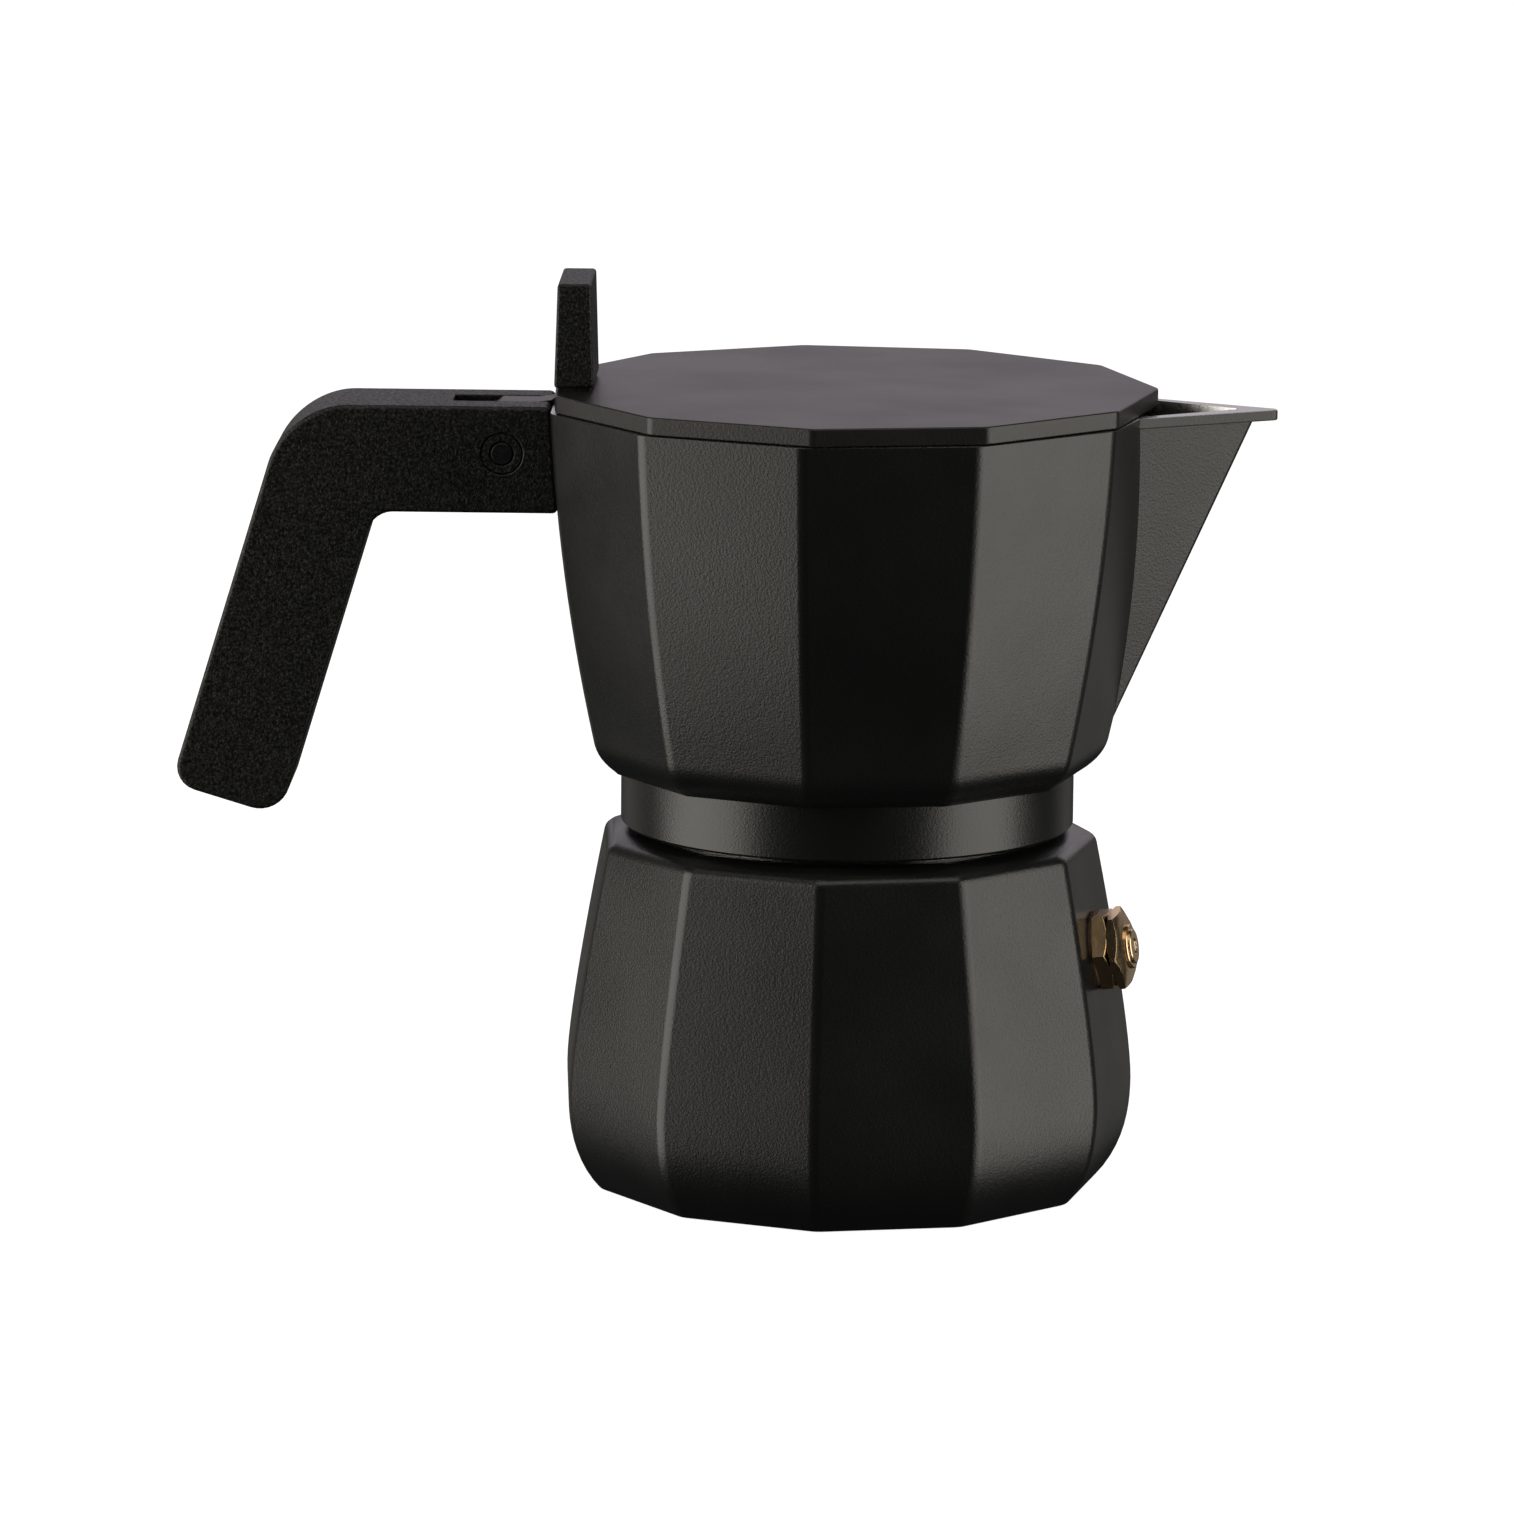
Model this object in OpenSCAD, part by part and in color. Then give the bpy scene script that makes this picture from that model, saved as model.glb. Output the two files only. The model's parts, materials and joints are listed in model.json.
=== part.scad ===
// Stove-top moka pot: eleven-sided boiler, chamber and lid, with a bent handle and a wedge spout.
// Origin at the centre of the boiler's base, +Z up, +X towards the spout, -X towards the handle.
// All sizes are in millimetres.

/* [Facets] */
// Number of sides round the boiler, the chamber and the lid
sides = 11; // [11:2:13]
// Turn of the boiler's corners against the chamber's, where the thread comes tight, in degrees
boiler_turn = 3; // [0:0.5:4]
// Turn of the lid's corners against the chamber's, in degrees
lid_turn = 1.8; // [0:0.2:2]

/* [Boiler] */
// Corner radius at the foot
foot_r = 41.8; // [41.4:0.1:42.4]
// Corner radius at the belly, the widest place
belly_r = 47.4; // [47:0.1:48]
// Height of the belly
belly_z = 16.4; // [15:0.2:18]
// Corner radius where the shoulder starts to round over
shoulder_r = 41.2; // [40.8:0.1:41.6]
// Height where the shoulder starts to round over
shoulder_z = 55.9; // [55.5:0.1:56.2]
// Thickness of the boiler's floor
boiler_floor = 3.2; // [2.6:0.2:4]
// Radius of the hollow at the belly
hollow_r = 42.3; // [41:0.1:42.6]

/* [Thread and seal] */
// Outer radius of the boiler's threaded neck
neck_r = 33; // [32.8:0.05:33.1]
// Radius of the hole through the neck
neck_bore_r = 28; // [27.8:0.05:28.2]
// Height of the boiler's rim
rim_z = 69.5; // [69:0.1:70]
// Free space between the two threads
thread_gap = 0.35; // [0.3:0.05:0.45]
// Thickness of the gasket
gasket_t = 3.3; // [3:0.1:3.4]
// Inner radius of the gasket
gasket_bore_r = 27; // [26.5:0.1:27.2]

/* [Funnel] */
// Outer radius of the coffee basket
basket_r = 27.2; // [26.8:0.1:27.4]
// Thickness of the basket's sheet
sheet_t = 0.8; // [0.7:0.05:0.9]
// Height of the basket's bottom edge
basket_z = 51; // [50:0.5:52]
// Outer radius of the funnel's tube
tube_r = 4.6; // [4.4:0.1:4.8]
// Height of the tube's lower end
tube_z = 7; // [6:0.5:9]
// Number of rings of holes in each perforated plate
hole_rings = 5; // [3:1:5]

/* [Chamber] */
// Outer radius of the plain round collar
collar_r = 37; // [36.8:0.1:37.2]
// Height of the collar's lower edge
collar_z = 59.5; // [59.4:0.1:59.8]
// Corner radius at the waist, above the collar
waist_r = 42.9; // [42.6:0.1:43.2]
// Height of the waist
waist_z = 74.3; // [74:0.1:74.6]
// Corner radius at the mouth
mouth_r = 50.3; // [50:0.1:50.6]
// Height of the mouth
mouth_z = 128; // [127:0.5:129]
// How far the sides bulge outside a straight line
side_bulge = 1.2; // [0.6:0.1:1.4]
// Thickness of the chamber's wall
chamber_wall = 2.6; // [2.4:0.1:2.8]
// Radius of the riser column
column_r = 4; // [3.8:0.1:4.2]
// Height of the riser column's top
column_z = 111; // [105:1:114]

/* [Spout] */
// Distance of the beak's edge from the axis, just under the lip
beak_x = 66.1; // [64:0.1:67]
// Slope of the beak's side faces in plan
beak_slope = 0.637; // [0.62:0.01:0.65]
// Distance of the lip's tip from the axis
lip_x = 69.1; // [68.5:0.1:69.5]
// Thickness of the lip
lip_t = 1.7; // [1.5:0.1:2]
// Half of the width of the lip's blunt tip
lip_tip = 1.2; // [0.8:0.1:1.5]

/* [Lid] */
// Corner radius of the lid
lid_r = 49.9; // [49.7:0.1:50]
// Thickness of the lid
lid_t = 2.9; // [2.7:0.1:3.1]
// Seam between the chamber's mouth and the lid
lid_seam = 0.15; // [0.1:0.05:0.2]
// Width of the hinge tongue
tongue_w = 6.4; // [6:0.1:6.6]
// Distance of the hinge pin behind the axis
pin_x = 56.2; // [56:0.1:56.5]
// Height of the hinge pin
pin_z = 120.7; // [120.5:0.1:121]
// Radius of the hinge pin
pin_r = 1.9; // [1.8:0.05:2]

/* [Knob] */
// Thickness of the knob at its foot
knob_foot_t = 6.4; // [6:0.1:6.6]
// Thickness of the knob at its top
knob_top_t = 5.4; // [5:0.1:5.8]
// Width of the knob
knob_w = 21.4; // [20:0.2:22]
// Height of the knob
knob_h = 17.4; // [16:0.2:18]

/* [Handle] */
// Width of the handle
handle_w = 20.6; // [20:0.2:21]
// Height of the top of the handle's arm
arm_z = 128.4; // [128:0.1:128.5]
// Thickness of the arm
arm_t = 17.4; // [17:0.1:18]
// Distance of the outer bend's corner behind the axis
bend_x = 91.1; // [90:0.1:93]
// Lean of the grip away from upright, in degrees
grip_lean = 16.8; // [14:0.2:19]
// Thickness of the grip
grip_t = 18.6; // [18:0.1:19]
// Length of the grip along its outer side
grip_l = 65.2; // [60:0.2:68]
// Width of the slot in the arm for the lid's tongue
slot_w = 7; // [7:0.1:7.4]

/* [Safety valve] */
// Height of the valve's seat on the boiler's facet
valve_z = 40.2; // [38:0.2:42]
// Width of the valve's hexagons across their flats
hex_af = 12; // [11.5:0.1:12.4]

/* [Hidden] */
$fn = 96;

// Half of the angle of one facet, and the share of the corner radius that reaches a facet's middle
half_facet = 180 / sides;
flat_share = cos(half_facet);

// Points of a Bezier curve after its first point
function curve(a, b, c, d, n) = [
    for (i = [1:n]) let (t = i / n, s = 1 - t)
        s * s * s * a + 3 * s * s * t * b + 3 * s * t * t * c + t * t * t * d
];

// Points of a closed outline whose corners [x, y, radius] are rounded off with arcs
function rounded(corners, n = 6) = [
    for (i = [0:len(corners) - 1])
        let (
            c = corners[i],
            before = corners[(i + len(corners) - 1) % len(corners)],
            after = corners[(i + 1) % len(corners)],
            p = [c.x, c.y],
            u = ([before.x, before.y] - p) / norm([before.x, before.y] - p),
            v = ([after.x, after.y] - p) / norm([after.x, after.y] - p),
            half = acos(u * v) / 2,
            centre = p + (u + v) / norm(u + v) * c.z / sin(half),
            from = p + u * c.z / tan(half) - centre,
            turn = (u.x * v.y - u.y * v.x > 0 ? -1 : 1) * (180 - 2 * half)
        )
        for (k = [0:n])
            let (a = turn * k / n)
            centre + [from.x * cos(a) - from.y * sin(a), from.x * sin(a) + from.y * cos(a)]
];

// Straight-sided solid through the [corner radius, height] points of an outline
module facet_stack(outline, turn = 0) {
    last = len(outline) - 1;
    points = [
        for (p = outline, i = [0:sides - 1])
            let (a = turn + 2 * half_facet * i)
            [p.x * cos(a), p.x * sin(a), p.y]
    ];
    walls = [
        for (k = [0:last - 1], i = [0:sides - 1])
            let (j = (i + 1) % sides)
            [k * sides + i, (k + 1) * sides + i, (k + 1) * sides + j, k * sides + j]
    ];
    floor_face = [for (i = [0:sides - 1]) i];
    roof_face = [for (i = [sides - 1:-1:0]) last * sides + i];
    polyhedron(points, concat([floor_face, roof_face], walls));
}

// Ring with a round section turned about Z
module ring(r_out, r_in, z, h) {
    translate([0, 0, z])
        difference() {
            cylinder(r = r_out, h = h);
            translate([0, 0, -1])
                cylinder(r = r_in, h = h + 2);
        }
}

// Cylinder along Y, centred on the hinge pin
module along_pin(r, l) {
    translate([-pin_x, l / 2, pin_z])
        rotate([90, 0, 0])
            cylinder(r = r, h = l);
}

// Rings of small holes, six more in each ring than in the one inside it
module hole_pattern(r_out, hole_r, z, h) {
    step = (r_out - 2.5) / hole_rings;
    translate([0, 0, z])
        for (k = [0:hole_rings], i = [0:max(0, 6 * k - 1)])
            rotate([0, 0, k == 0 ? 0 : 60 * i / k])
                translate([k * step, 0, 0])
                    cylinder(r = hole_r, h = h, $fn = 16);
}

// ---- Boiler ----

seat_z = 58.7;
foot = [foot_r, 0];
belly = [belly_r, belly_z];
shoulder = [shoulder_r, shoulder_z];
boiler_outline = concat(
    [foot],
    curve(foot, foot + [5, 5.2], belly - [0, 4.5], belly, 7),
    curve(belly, belly + [0, 7.2], shoulder + [2.3, -11.3], shoulder, 9),
    curve(shoulder, shoulder + [-0.3, 1.5], [39.5, seat_z - 0.9], [36, seat_z], 5)
);
hollow_foot = [34, boiler_floor];
hollow_belly = [hollow_r, belly_z + 0.6];
hollow_shoulder = [36.4, 53];
hollow_outline = concat(
    [[0, boiler_floor], hollow_foot],
    curve(hollow_foot, [40.5, boiler_floor], hollow_belly - [0, 8], hollow_belly, 6),
    curve(hollow_belly, hollow_belly + [0, 8], [39, 44], hollow_shoulder, 6),
    curve(hollow_shoulder, [35.8, 55.4], [33, 56.2], [neck_bore_r, 57], 4),
    [[neck_bore_r, rim_z + 1], [0, rim_z + 1]]
);

// Corner radius of the boiler at a height, and the place and lean of the valve's facet there
heights = [for (p = boiler_outline) [p.y, p.x]];
valve_seat_r = lookup(valve_z, heights) * flat_share;
valve_lean = atan((lookup(valve_z - 5, heights) - lookup(valve_z + 5, heights)) * flat_share / 10);
stub_r = 4.9;

// Puts children on the valve's axis, with Z outwards and zero on the facet
module at_valve() {
    rotate([0, 0, boiler_turn - half_facet])
        translate([valve_seat_r, 0, valve_z])
            rotate([0, 90 - valve_lean, 0])
                children();
}

module boiler() {
    color("#33312e")
        difference() {
            union() {
                facet_stack(boiler_outline, boiler_turn);
                translate([0, 0, seat_z - 4])
                    cylinder(r = neck_r, h = rim_z - seat_z + 4);
            }
            difference() {
                rotate_extrude()
                    polygon(hollow_outline);
                at_valve()
                    translate([0, 0, -5.5])
                        cylinder(r = 8.5, h = 6);
            }
            at_valve()
                translate([0, 0, -12])
                    cylinder(r = stub_r, h = 20);
        }
}

// ---- Safety valve, in the frame of at_valve ----

washer_t = 0.5;
body_top = 2.9;
spigot_top = 4.4;
cap_top = 5.3;
boss_top = 6.2;
edge_chamfer = [0.9, 0.5];
dome_chamfer = [2.3, 1.2];
stub_end = -7;
chamber_bore_r = 2.6;
piston_r = 1.12;
spigot_r = 3.9;

// Hexagon from height a to height b, turned to a cone at each end by a chamfer [inwards, along]
module hexagon(a, b, low_chamfer, high_chamfer) {
    corner = hex_af / 2 / cos(30);
    intersection() {
        translate([0, 0, a])
            cylinder(r = corner, h = b - a, $fn = 6);
        rotate_extrude()
            polygon([
                [0, a],
                [corner - low_chamfer.x, a],
                [corner, a + low_chamfer.y],
                [corner, b - high_chamfer.y],
                [corner - high_chamfer.x, b],
                [0, b]
            ]);
    }
}

module valve_washer() {
    color("#5a4636")
        at_valve()
            ring(6.4, stub_r, 0, washer_t);
}

module valve_body() {
    color("#b08d4a")
        at_valve()
            difference() {
                union() {
                    rotate([0, 0, 30])
                        hexagon(washer_t, body_top, [0.1, 0.1], edge_chamfer);
                    translate([0, 0, stub_end])
                        cylinder(r = stub_r, h = washer_t - stub_end);
                    translate([0, 0, body_top - 0.5])
                        cylinder(r = spigot_r, h = spigot_top - body_top + 0.5);
                }
                translate([0, 0, stub_end + 1.4])
                    cylinder(r = chamber_bore_r, h = 20);
                translate([0, 0, stub_end - 1])
                    cylinder(r = 1.5, h = 20);
            }
}

module valve_cap() {
    color("#b08d4a")
        at_valve()
            difference() {
                union() {
                    rotate([0, 0, 38])
                        hexagon(body_top, cap_top, edge_chamfer, dome_chamfer);
                    translate([0, 0, cap_top - 0.5])
                        cylinder(r = 3.6, h = 1);
                    translate([0, 0, cap_top])
                        cylinder(r = 2.8, h = boss_top - cap_top);
                }
                translate([0, 0, body_top - 1])
                    cylinder(r = spigot_r, h = spigot_top - body_top + 1);
                translate([0, 0, body_top])
                    cylinder(r = 1.2, h = 10);
            }
}

seat_top = stub_end + 1.4;
seal_t = 0.6;
disc_t = 0.8;

module valve_piston() {
    color("#c0c0be")
        at_valve()
            union() {
                translate([0, 0, seat_top + seal_t])
                    cylinder(r = 2.2, h = disc_t);
                translate([0, 0, seat_top + seal_t])
                    cylinder(r = piston_r, h = boss_top - 0.2 - seat_top - seal_t);
            }
}

module valve_seal() {
    color("#a33a2c")
        at_valve()
            translate([0, 0, seat_top])
                cylinder(r = 2.2, h = seal_t);
}

spring_turns = 6;
spring_wire_r = 0.3;
spring_r = 1.85;

// Wire of the spring: a helix of small six-sided sections with closed ends
module valve_spring() {
    low = seat_top + seal_t + disc_t + spring_wire_r;
    high = spigot_top - spring_wire_r;
    steps = spring_turns * 10;
    wire_sides = 6;
    points = [
        for (k = [0:steps], i = [0:wire_sides - 1])
            let (
                a = 360 * spring_turns * k / steps,
                b = 60 * i,
                r = spring_r + spring_wire_r * cos(b)
            )
            [r * cos(a), r * sin(a), low + (high - low) * k / steps + spring_wire_r * sin(b)]
    ];
    walls = [
        for (k = [0:steps - 1], i = [0:wire_sides - 1])
            let (j = (i + 1) % wire_sides)
            [k * wire_sides + i, k * wire_sides + j, (k + 1) * wire_sides + j, (k + 1) * wire_sides + i]
    ];
    ends = [
        [for (i = [wire_sides - 1:-1:0]) i],
        [for (i = [0:wire_sides - 1]) steps * wire_sides + i]
    ];
    color("#b9bab8")
        at_valve()
            polyhedron(points, concat(walls, ends));
}

// ---- Funnel ----

flange_r = 31.6;
cone_z = basket_z - 6;
plate_t = 0.6;

module funnel_basket() {
    inner_r = basket_r - sheet_t;
    color("#a9aaa8")
        rotate_extrude()
            polygon([
                [tube_r, cone_z - 4],
                [tube_r + sheet_t, cone_z - 4],
                [tube_r + sheet_t, cone_z],
                [basket_r, basket_z],
                [basket_r, rim_z],
                [flange_r, rim_z],
                [flange_r, rim_z + sheet_t],
                [inner_r, rim_z + sheet_t],
                [inner_r, basket_z + sheet_t],
                [tube_r, cone_z + sheet_t]
            ]);
}

module funnel_tube() {
    color("#a9aaa8")
        difference() {
            ring(tube_r, tube_r - 1, tube_z, cone_z - tube_z);
            // Notch in the foot that keeps the water's way open
            translate([-1, -10, tube_z - 1])
                cube([2, 20, 3]);
        }
}

module funnel_plate() {
    color("#b4b5b3")
        difference() {
            translate([0, 0, basket_z + sheet_t])
                cylinder(r = basket_r - sheet_t, h = plate_t);
            hole_pattern(basket_r - sheet_t, 0.7, basket_z, 3);
        }
}

// ---- Gasket and filter plate ----

gasket_r = 32.6;
gasket_z = rim_z + sheet_t;
filter_z = gasket_z + gasket_t;
filter_r = 28;

module gasket() {
    color("#d9d5cb")
        ring(gasket_r, gasket_bore_r, gasket_z, gasket_t);
}

module filter_plate() {
    color("#b4b5b3")
        difference() {
            translate([0, 0, filter_z])
                cylinder(r = filter_r, h = plate_t);
            hole_pattern(filter_r, 0.6, filter_z - 1, 3);
        }
}

// ---- Upper chamber ----

// Corner radius of the chamber's side at a height
function side_r(z) =
    let (t = (z - waist_z) / (mouth_z - waist_z))
    waist_r + (mouth_r - waist_r) * t + 4 * side_bulge * t * (1 - t);

side_steps = 10;
side_heights = [for (i = [1:side_steps]) waist_z + (mouth_z - waist_z) * i / side_steps];
roll_foot = [38.7, 68.5];
chamber_outline = concat(
    [roll_foot],
    curve(roll_foot, [41, 70], [42.5, 71.8], [waist_r, waist_z], 5),
    [for (z = side_heights) [side_r(z), z]]
);

// The inside follows the facets at one wall thickness, with a rounded foot
wall_step = chamber_wall / flat_share;
chamber_floor = 77;
inside_foot = [35, chamber_floor];
inside_z = waist_z + 10;
inside_outline = concat(
    [inside_foot],
    curve(inside_foot, [39.5, chamber_floor], [41.3, 79], [side_r(inside_z) - wall_step, inside_z], 5),
    [for (z = side_heights) if (z > inside_z + 1) [side_r(z) - wall_step, z]],
    [[side_r(mouth_z) - wall_step, mouth_z + 1]]
);

// Distance of the beak's edge from the axis at a height: a straight line from waist to lip
beak_foot_z = waist_z - 0.5;
lip_z = mouth_z - lip_t;
function beak_edge(z) = waist_r - 0.1 + (beak_x - waist_r + 0.1) * (z - beak_foot_z) / (lip_z - beak_foot_z);

// Wedge with one plan shape at every height, whose edge follows the beak at a distance inside it
module wedge(inset, depth, low, high, blunt) {
    plan = [[-depth, -beak_slope * depth], [-blunt, -beak_slope * blunt],
            [-blunt, beak_slope * blunt], [-depth, beak_slope * depth]];
    points = [
        for (z = [low, high], p = plan)
            [beak_edge(z) - inset + p.x, p.y, z]
    ];
    polyhedron(points, [[0, 1, 2, 3], [7, 6, 5, 4], [0, 4, 5, 1], [1, 5, 6, 2], [2, 6, 7, 3], [3, 7, 4, 0]]);
}

// Plan of the lip: flush with the facets where it starts, and proud of the beak at its tip
lip_root_x = 46.4;
lip_root_y = beak_slope * (beak_edge(mouth_z) - lip_root_x);
lug_t = 2.8;
lug_y = slot_w / 2 + 0.4;
lug_r = 4;

// One of the two lugs that carry the handle and the hinge pin
module chamber_lug(y) {
    translate([0, y, 0])
        rotate([90, 0, 0])
            linear_extrude(lug_t)
                polygon([
                    [-side_r(pin_z) * flat_share + 1.2, pin_z + lug_r],
                    [-pin_x, pin_z + lug_r],
                    for (a = [100:20:260]) [-pin_x + lug_r * cos(a), pin_z + lug_r * sin(a)],
                    [-pin_x, pin_z - lug_r],
                    [-side_r(pin_z) * flat_share + 1.2, pin_z - lug_r]
                ]);
}

module upper_chamber() {
    under_z = filter_z + plate_t + 0.1;
    bore_r = column_r - 1;
    color("#33312e")
        difference() {
            union() {
                difference() {
                    union() {
                        facet_stack(chamber_outline);
                        wedge(0, 26, beak_foot_z, mouth_z, 0.9);
                        translate([0, 0, lip_z])
                            linear_extrude(lip_t)
                                polygon([
                                    [30, -lip_root_y],
                                    [lip_root_x, -lip_root_y],
                                    [lip_x - 0.5, -lip_tip],
                                    [lip_x, -lip_tip + 0.5],
                                    [lip_x, lip_tip - 0.5],
                                    [lip_x - 0.5, lip_tip],
                                    [lip_root_x, lip_root_y],
                                    [30, lip_root_y]
                                ]);
                    }
                    facet_stack(inside_outline);
                    wedge(3.6, 30, waist_z + 8, mouth_z + 1, 0.6);
                }
                translate([0, 0, collar_z])
                    cylinder(r = collar_r, h = chamber_floor - collar_z);
                translate([0, 0, chamber_floor - 0.5])
                    cylinder(r1 = 31, r2 = column_r + 3, h = 6);
                chamber_lug(-lug_y);
                chamber_lug(lug_y + lug_t);
            }
            translate([0, 0, collar_z - 1])
                cylinder(r = neck_r + thread_gap, h = rim_z + 0.6 - collar_z + 1);
            translate([0, 0, rim_z])
                cylinder(r = gasket_r + 0.4, h = filter_z - rim_z);
            translate([0, 0, filter_z - 0.5])
                cylinder(r = filter_r + 0.4, h = plate_t + 0.6);
            translate([0, 0, under_z - 0.01])
                cylinder(r1 = filter_r - 1, r2 = bore_r, h = 4.5);
            translate([0, 0, under_z])
                cylinder(r = bore_r, h = 20);
            translate([0, 0, under_z + 4.4])
                cylinder(r = column_r, h = 20);
            along_pin(pin_r, 30);
        }
}

column_foot = filter_z + plate_t + 4.5;

module riser_column() {
    color("#a9aaa8")
        ring(column_r, column_r - 1, column_foot, column_z - column_foot);
}

// Cap that closes the column's top and lets the coffee out through two side windows
module column_cap() {
    cap_r = column_r + 1.2;
    cap_low = column_z - 8;
    cap_high = column_z + 5;
    color("#a9aaa8")
        difference() {
            union() {
                translate([0, 0, cap_low])
                    cylinder(r = cap_r, h = cap_high - cap_low - 2);
                translate([0, 0, cap_high - 2])
                    cylinder(r1 = cap_r, r2 = cap_r - 2, h = 2);
            }
            translate([0, 0, cap_low - 1])
                cylinder(r = column_r, h = cap_high - cap_low - 0.5);
            translate([-1.6, -10, column_z + 0.2])
                cube([3.2, 20, 2.4]);
        }
}

// ---- Handle ----

front_gap = 0.1;
grip_out = [-bend_x - grip_l * sin(grip_lean), arm_z - grip_l * cos(grip_lean)];
grip_in = grip_out + grip_t * [cos(grip_lean), -sin(grip_lean)];
arm_low = arm_z - arm_t;
inner_x = grip_in.x + (arm_low - grip_in.y) * tan(grip_lean);
bush_r = 3.4;
bush_t = 1.6;
slot_end = pin_x + 8.3;

module handle() {
    outline = rounded([
        [-side_r(arm_z) * flat_share - front_gap, arm_z, 1],
        [-bend_x, arm_z, 13.5],
        [grip_out.x, grip_out.y, 4],
        [grip_in.x, grip_in.y, 5],
        [inner_x, arm_low, 4],
        [-side_r(arm_low) * flat_share - front_gap, arm_low, 0.8]
    ]);
    color("#171717")
        difference() {
            translate([0, handle_w / 2, 0])
                rotate([90, 0, 0])
                    linear_extrude(handle_w)
                        polygon(outline);
            // Slot for the lid's tongue
            translate([-slot_end, -slot_w / 2, pin_z - 5.2])
                cube([slot_end - 40, slot_w, 30]);
            // Pocket for the chamber's lugs
            translate([-pin_x - lug_r - 0.4, -lug_y - lug_t - 0.2, pin_z - lug_r - 0.2])
                cube([pin_x + lug_r + 0.4 - 40, 2 * (lug_y + lug_t + 0.2), 2 * lug_r + 0.4]);
            along_pin(pin_r, 40);
            for (side = [0, 1])
                mirror([0, side, 0])
                    translate([-pin_x, handle_w / 2 + 1, pin_z])
                        rotate([90, 0, 0])
                            cylinder(r = bush_r, h = bush_t + 1);
        }
}

// Two bushes that close the handle's counterbores round the ends of the pin
module handle_bushes() {
    color("#171717")
        difference() {
            for (side = [0, 1])
                mirror([0, side, 0])
                    translate([-pin_x, handle_w / 2 - 0.1, pin_z])
                        rotate([90, 0, 0])
                            cylinder(r = bush_r, h = bush_t - 0.1);
            along_pin(pin_r, 40);
        }
}

module hinge_pin() {
    color("#26262a")
        along_pin(pin_r, handle_w - 0.2);
}

// ---- Lid, knob and screw ----

lid_z = mouth_z + lid_seam;
knob_x = 44.6;
screw_r = 1.5;

module lid() {
    rear = -lid_r * flat_share + 1;
    color("#3a3735")
        difference() {
            union() {
                facet_stack([[lid_r, lid_z], [lid_r, lid_z + lid_t]], lid_turn);
                // Tongue: a web from the lid's rear edge down to the knuckle on the hinge pin
                translate([0, tongue_w / 2, 0])
                    rotate([90, 0, 0])
                        linear_extrude(tongue_w)
                            polygon([
                                [rear, lid_z],
                                [-side_r(mouth_z) * flat_share - 0.4, lid_z],
                                [-side_r(mouth_z) * flat_share - 0.4, pin_z + 0.8],
                                [-pin_x + 3.5, pin_z - 1.5],
                                [-pin_x, pin_z],
                                [-pin_x - 3.6, pin_z + 1.5],
                                [-pin_x - 1.6, arm_z - 0.9],
                                [-pin_x - 0.4, arm_z - 0.1],
                                [-50.8, arm_z - 0.1],
                                [-48.6, arm_z + 0.2],
                                [rear, arm_z + 1.2]
                            ]);
                along_pin(lug_r - 0.1, tongue_w);
            }
            translate([0, 0, lid_z - 1])
                cylinder(r = 38, h = 2);
            along_pin(pin_r + 0.05, 20);
            translate([-knob_x, 0, lid_z - 1])
                cylinder(r = screw_r, h = 10);
            translate([-knob_x, 0, lid_z - 0.01])
                cylinder(r1 = 2.9, r2 = screw_r, h = 1.4);
        }
}

module lid_knob() {
    foot_z = lid_z + lid_t;
    foot_gap = 0.5;
    color("#171717")
        difference() {
            union() {
                translate([0, knob_w / 2, 0])
                    rotate([90, 0, 0])
                        linear_extrude(knob_w)
                            polygon([
                                [-knob_x - knob_foot_t / 2, foot_z + foot_gap],
                                [-knob_x + knob_foot_t / 2, foot_z + foot_gap],
                                [-knob_x + knob_top_t / 2, foot_z + knob_h],
                                [-knob_x - knob_top_t / 2, foot_z + knob_h]
                            ]);
                translate([-knob_x - knob_foot_t / 2 + 0.6, -knob_w / 2 + 0.6, foot_z])
                    cube([knob_foot_t - 1.2, knob_w - 1.2, 2]);
            }
            translate([-knob_x, 0, foot_z - 1])
                cylinder(r = screw_r, h = 9);
        }
}

module knob_screw() {
    color("#b9bab8")
        difference() {
            union() {
                translate([-knob_x, 0, lid_z])
                    cylinder(r1 = 2.85, r2 = screw_r, h = 1.35);
                translate([-knob_x, 0, lid_z + 1])
                    cylinder(r = screw_r, h = lid_t + 6);
            }
            for (a = [0, 90])
                translate([-knob_x, 0, lid_z])
                    rotate([0, 0, a])
                        cube([3, 0.7, 1.2], center = true);
        }
}

boiler();
valve_washer();
valve_body();
valve_cap();
valve_piston();
valve_seal();
valve_spring();
funnel_basket();
funnel_tube();
funnel_plate();
gasket();
filter_plate();
upper_chamber();
riser_column();
column_cap();
handle();
handle_bushes();
hinge_pin();
lid();
lid_knob();
knob_screw();
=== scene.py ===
# %% [markdown]
# # A stove-top moka pot
# This lesson dresses a finished engineering model of a three-cup moka pot: an eleven-sided cast pot with
# a wedge spout, a flat lid with an upright knob, a bent plastic handle and a brass safety valve.
# The engineering model fixes every place and every moving body. Here the parts that the eye meets get
# the soft edges of a real casting, and every part gets the finish of its real material.
# The first cell loads that model. Its box is kept, so that the size can be compared at the end.

# %% Load the frame
import json
import math

import bmesh
import bpy
from mathutils import Matrix, Vector


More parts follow.
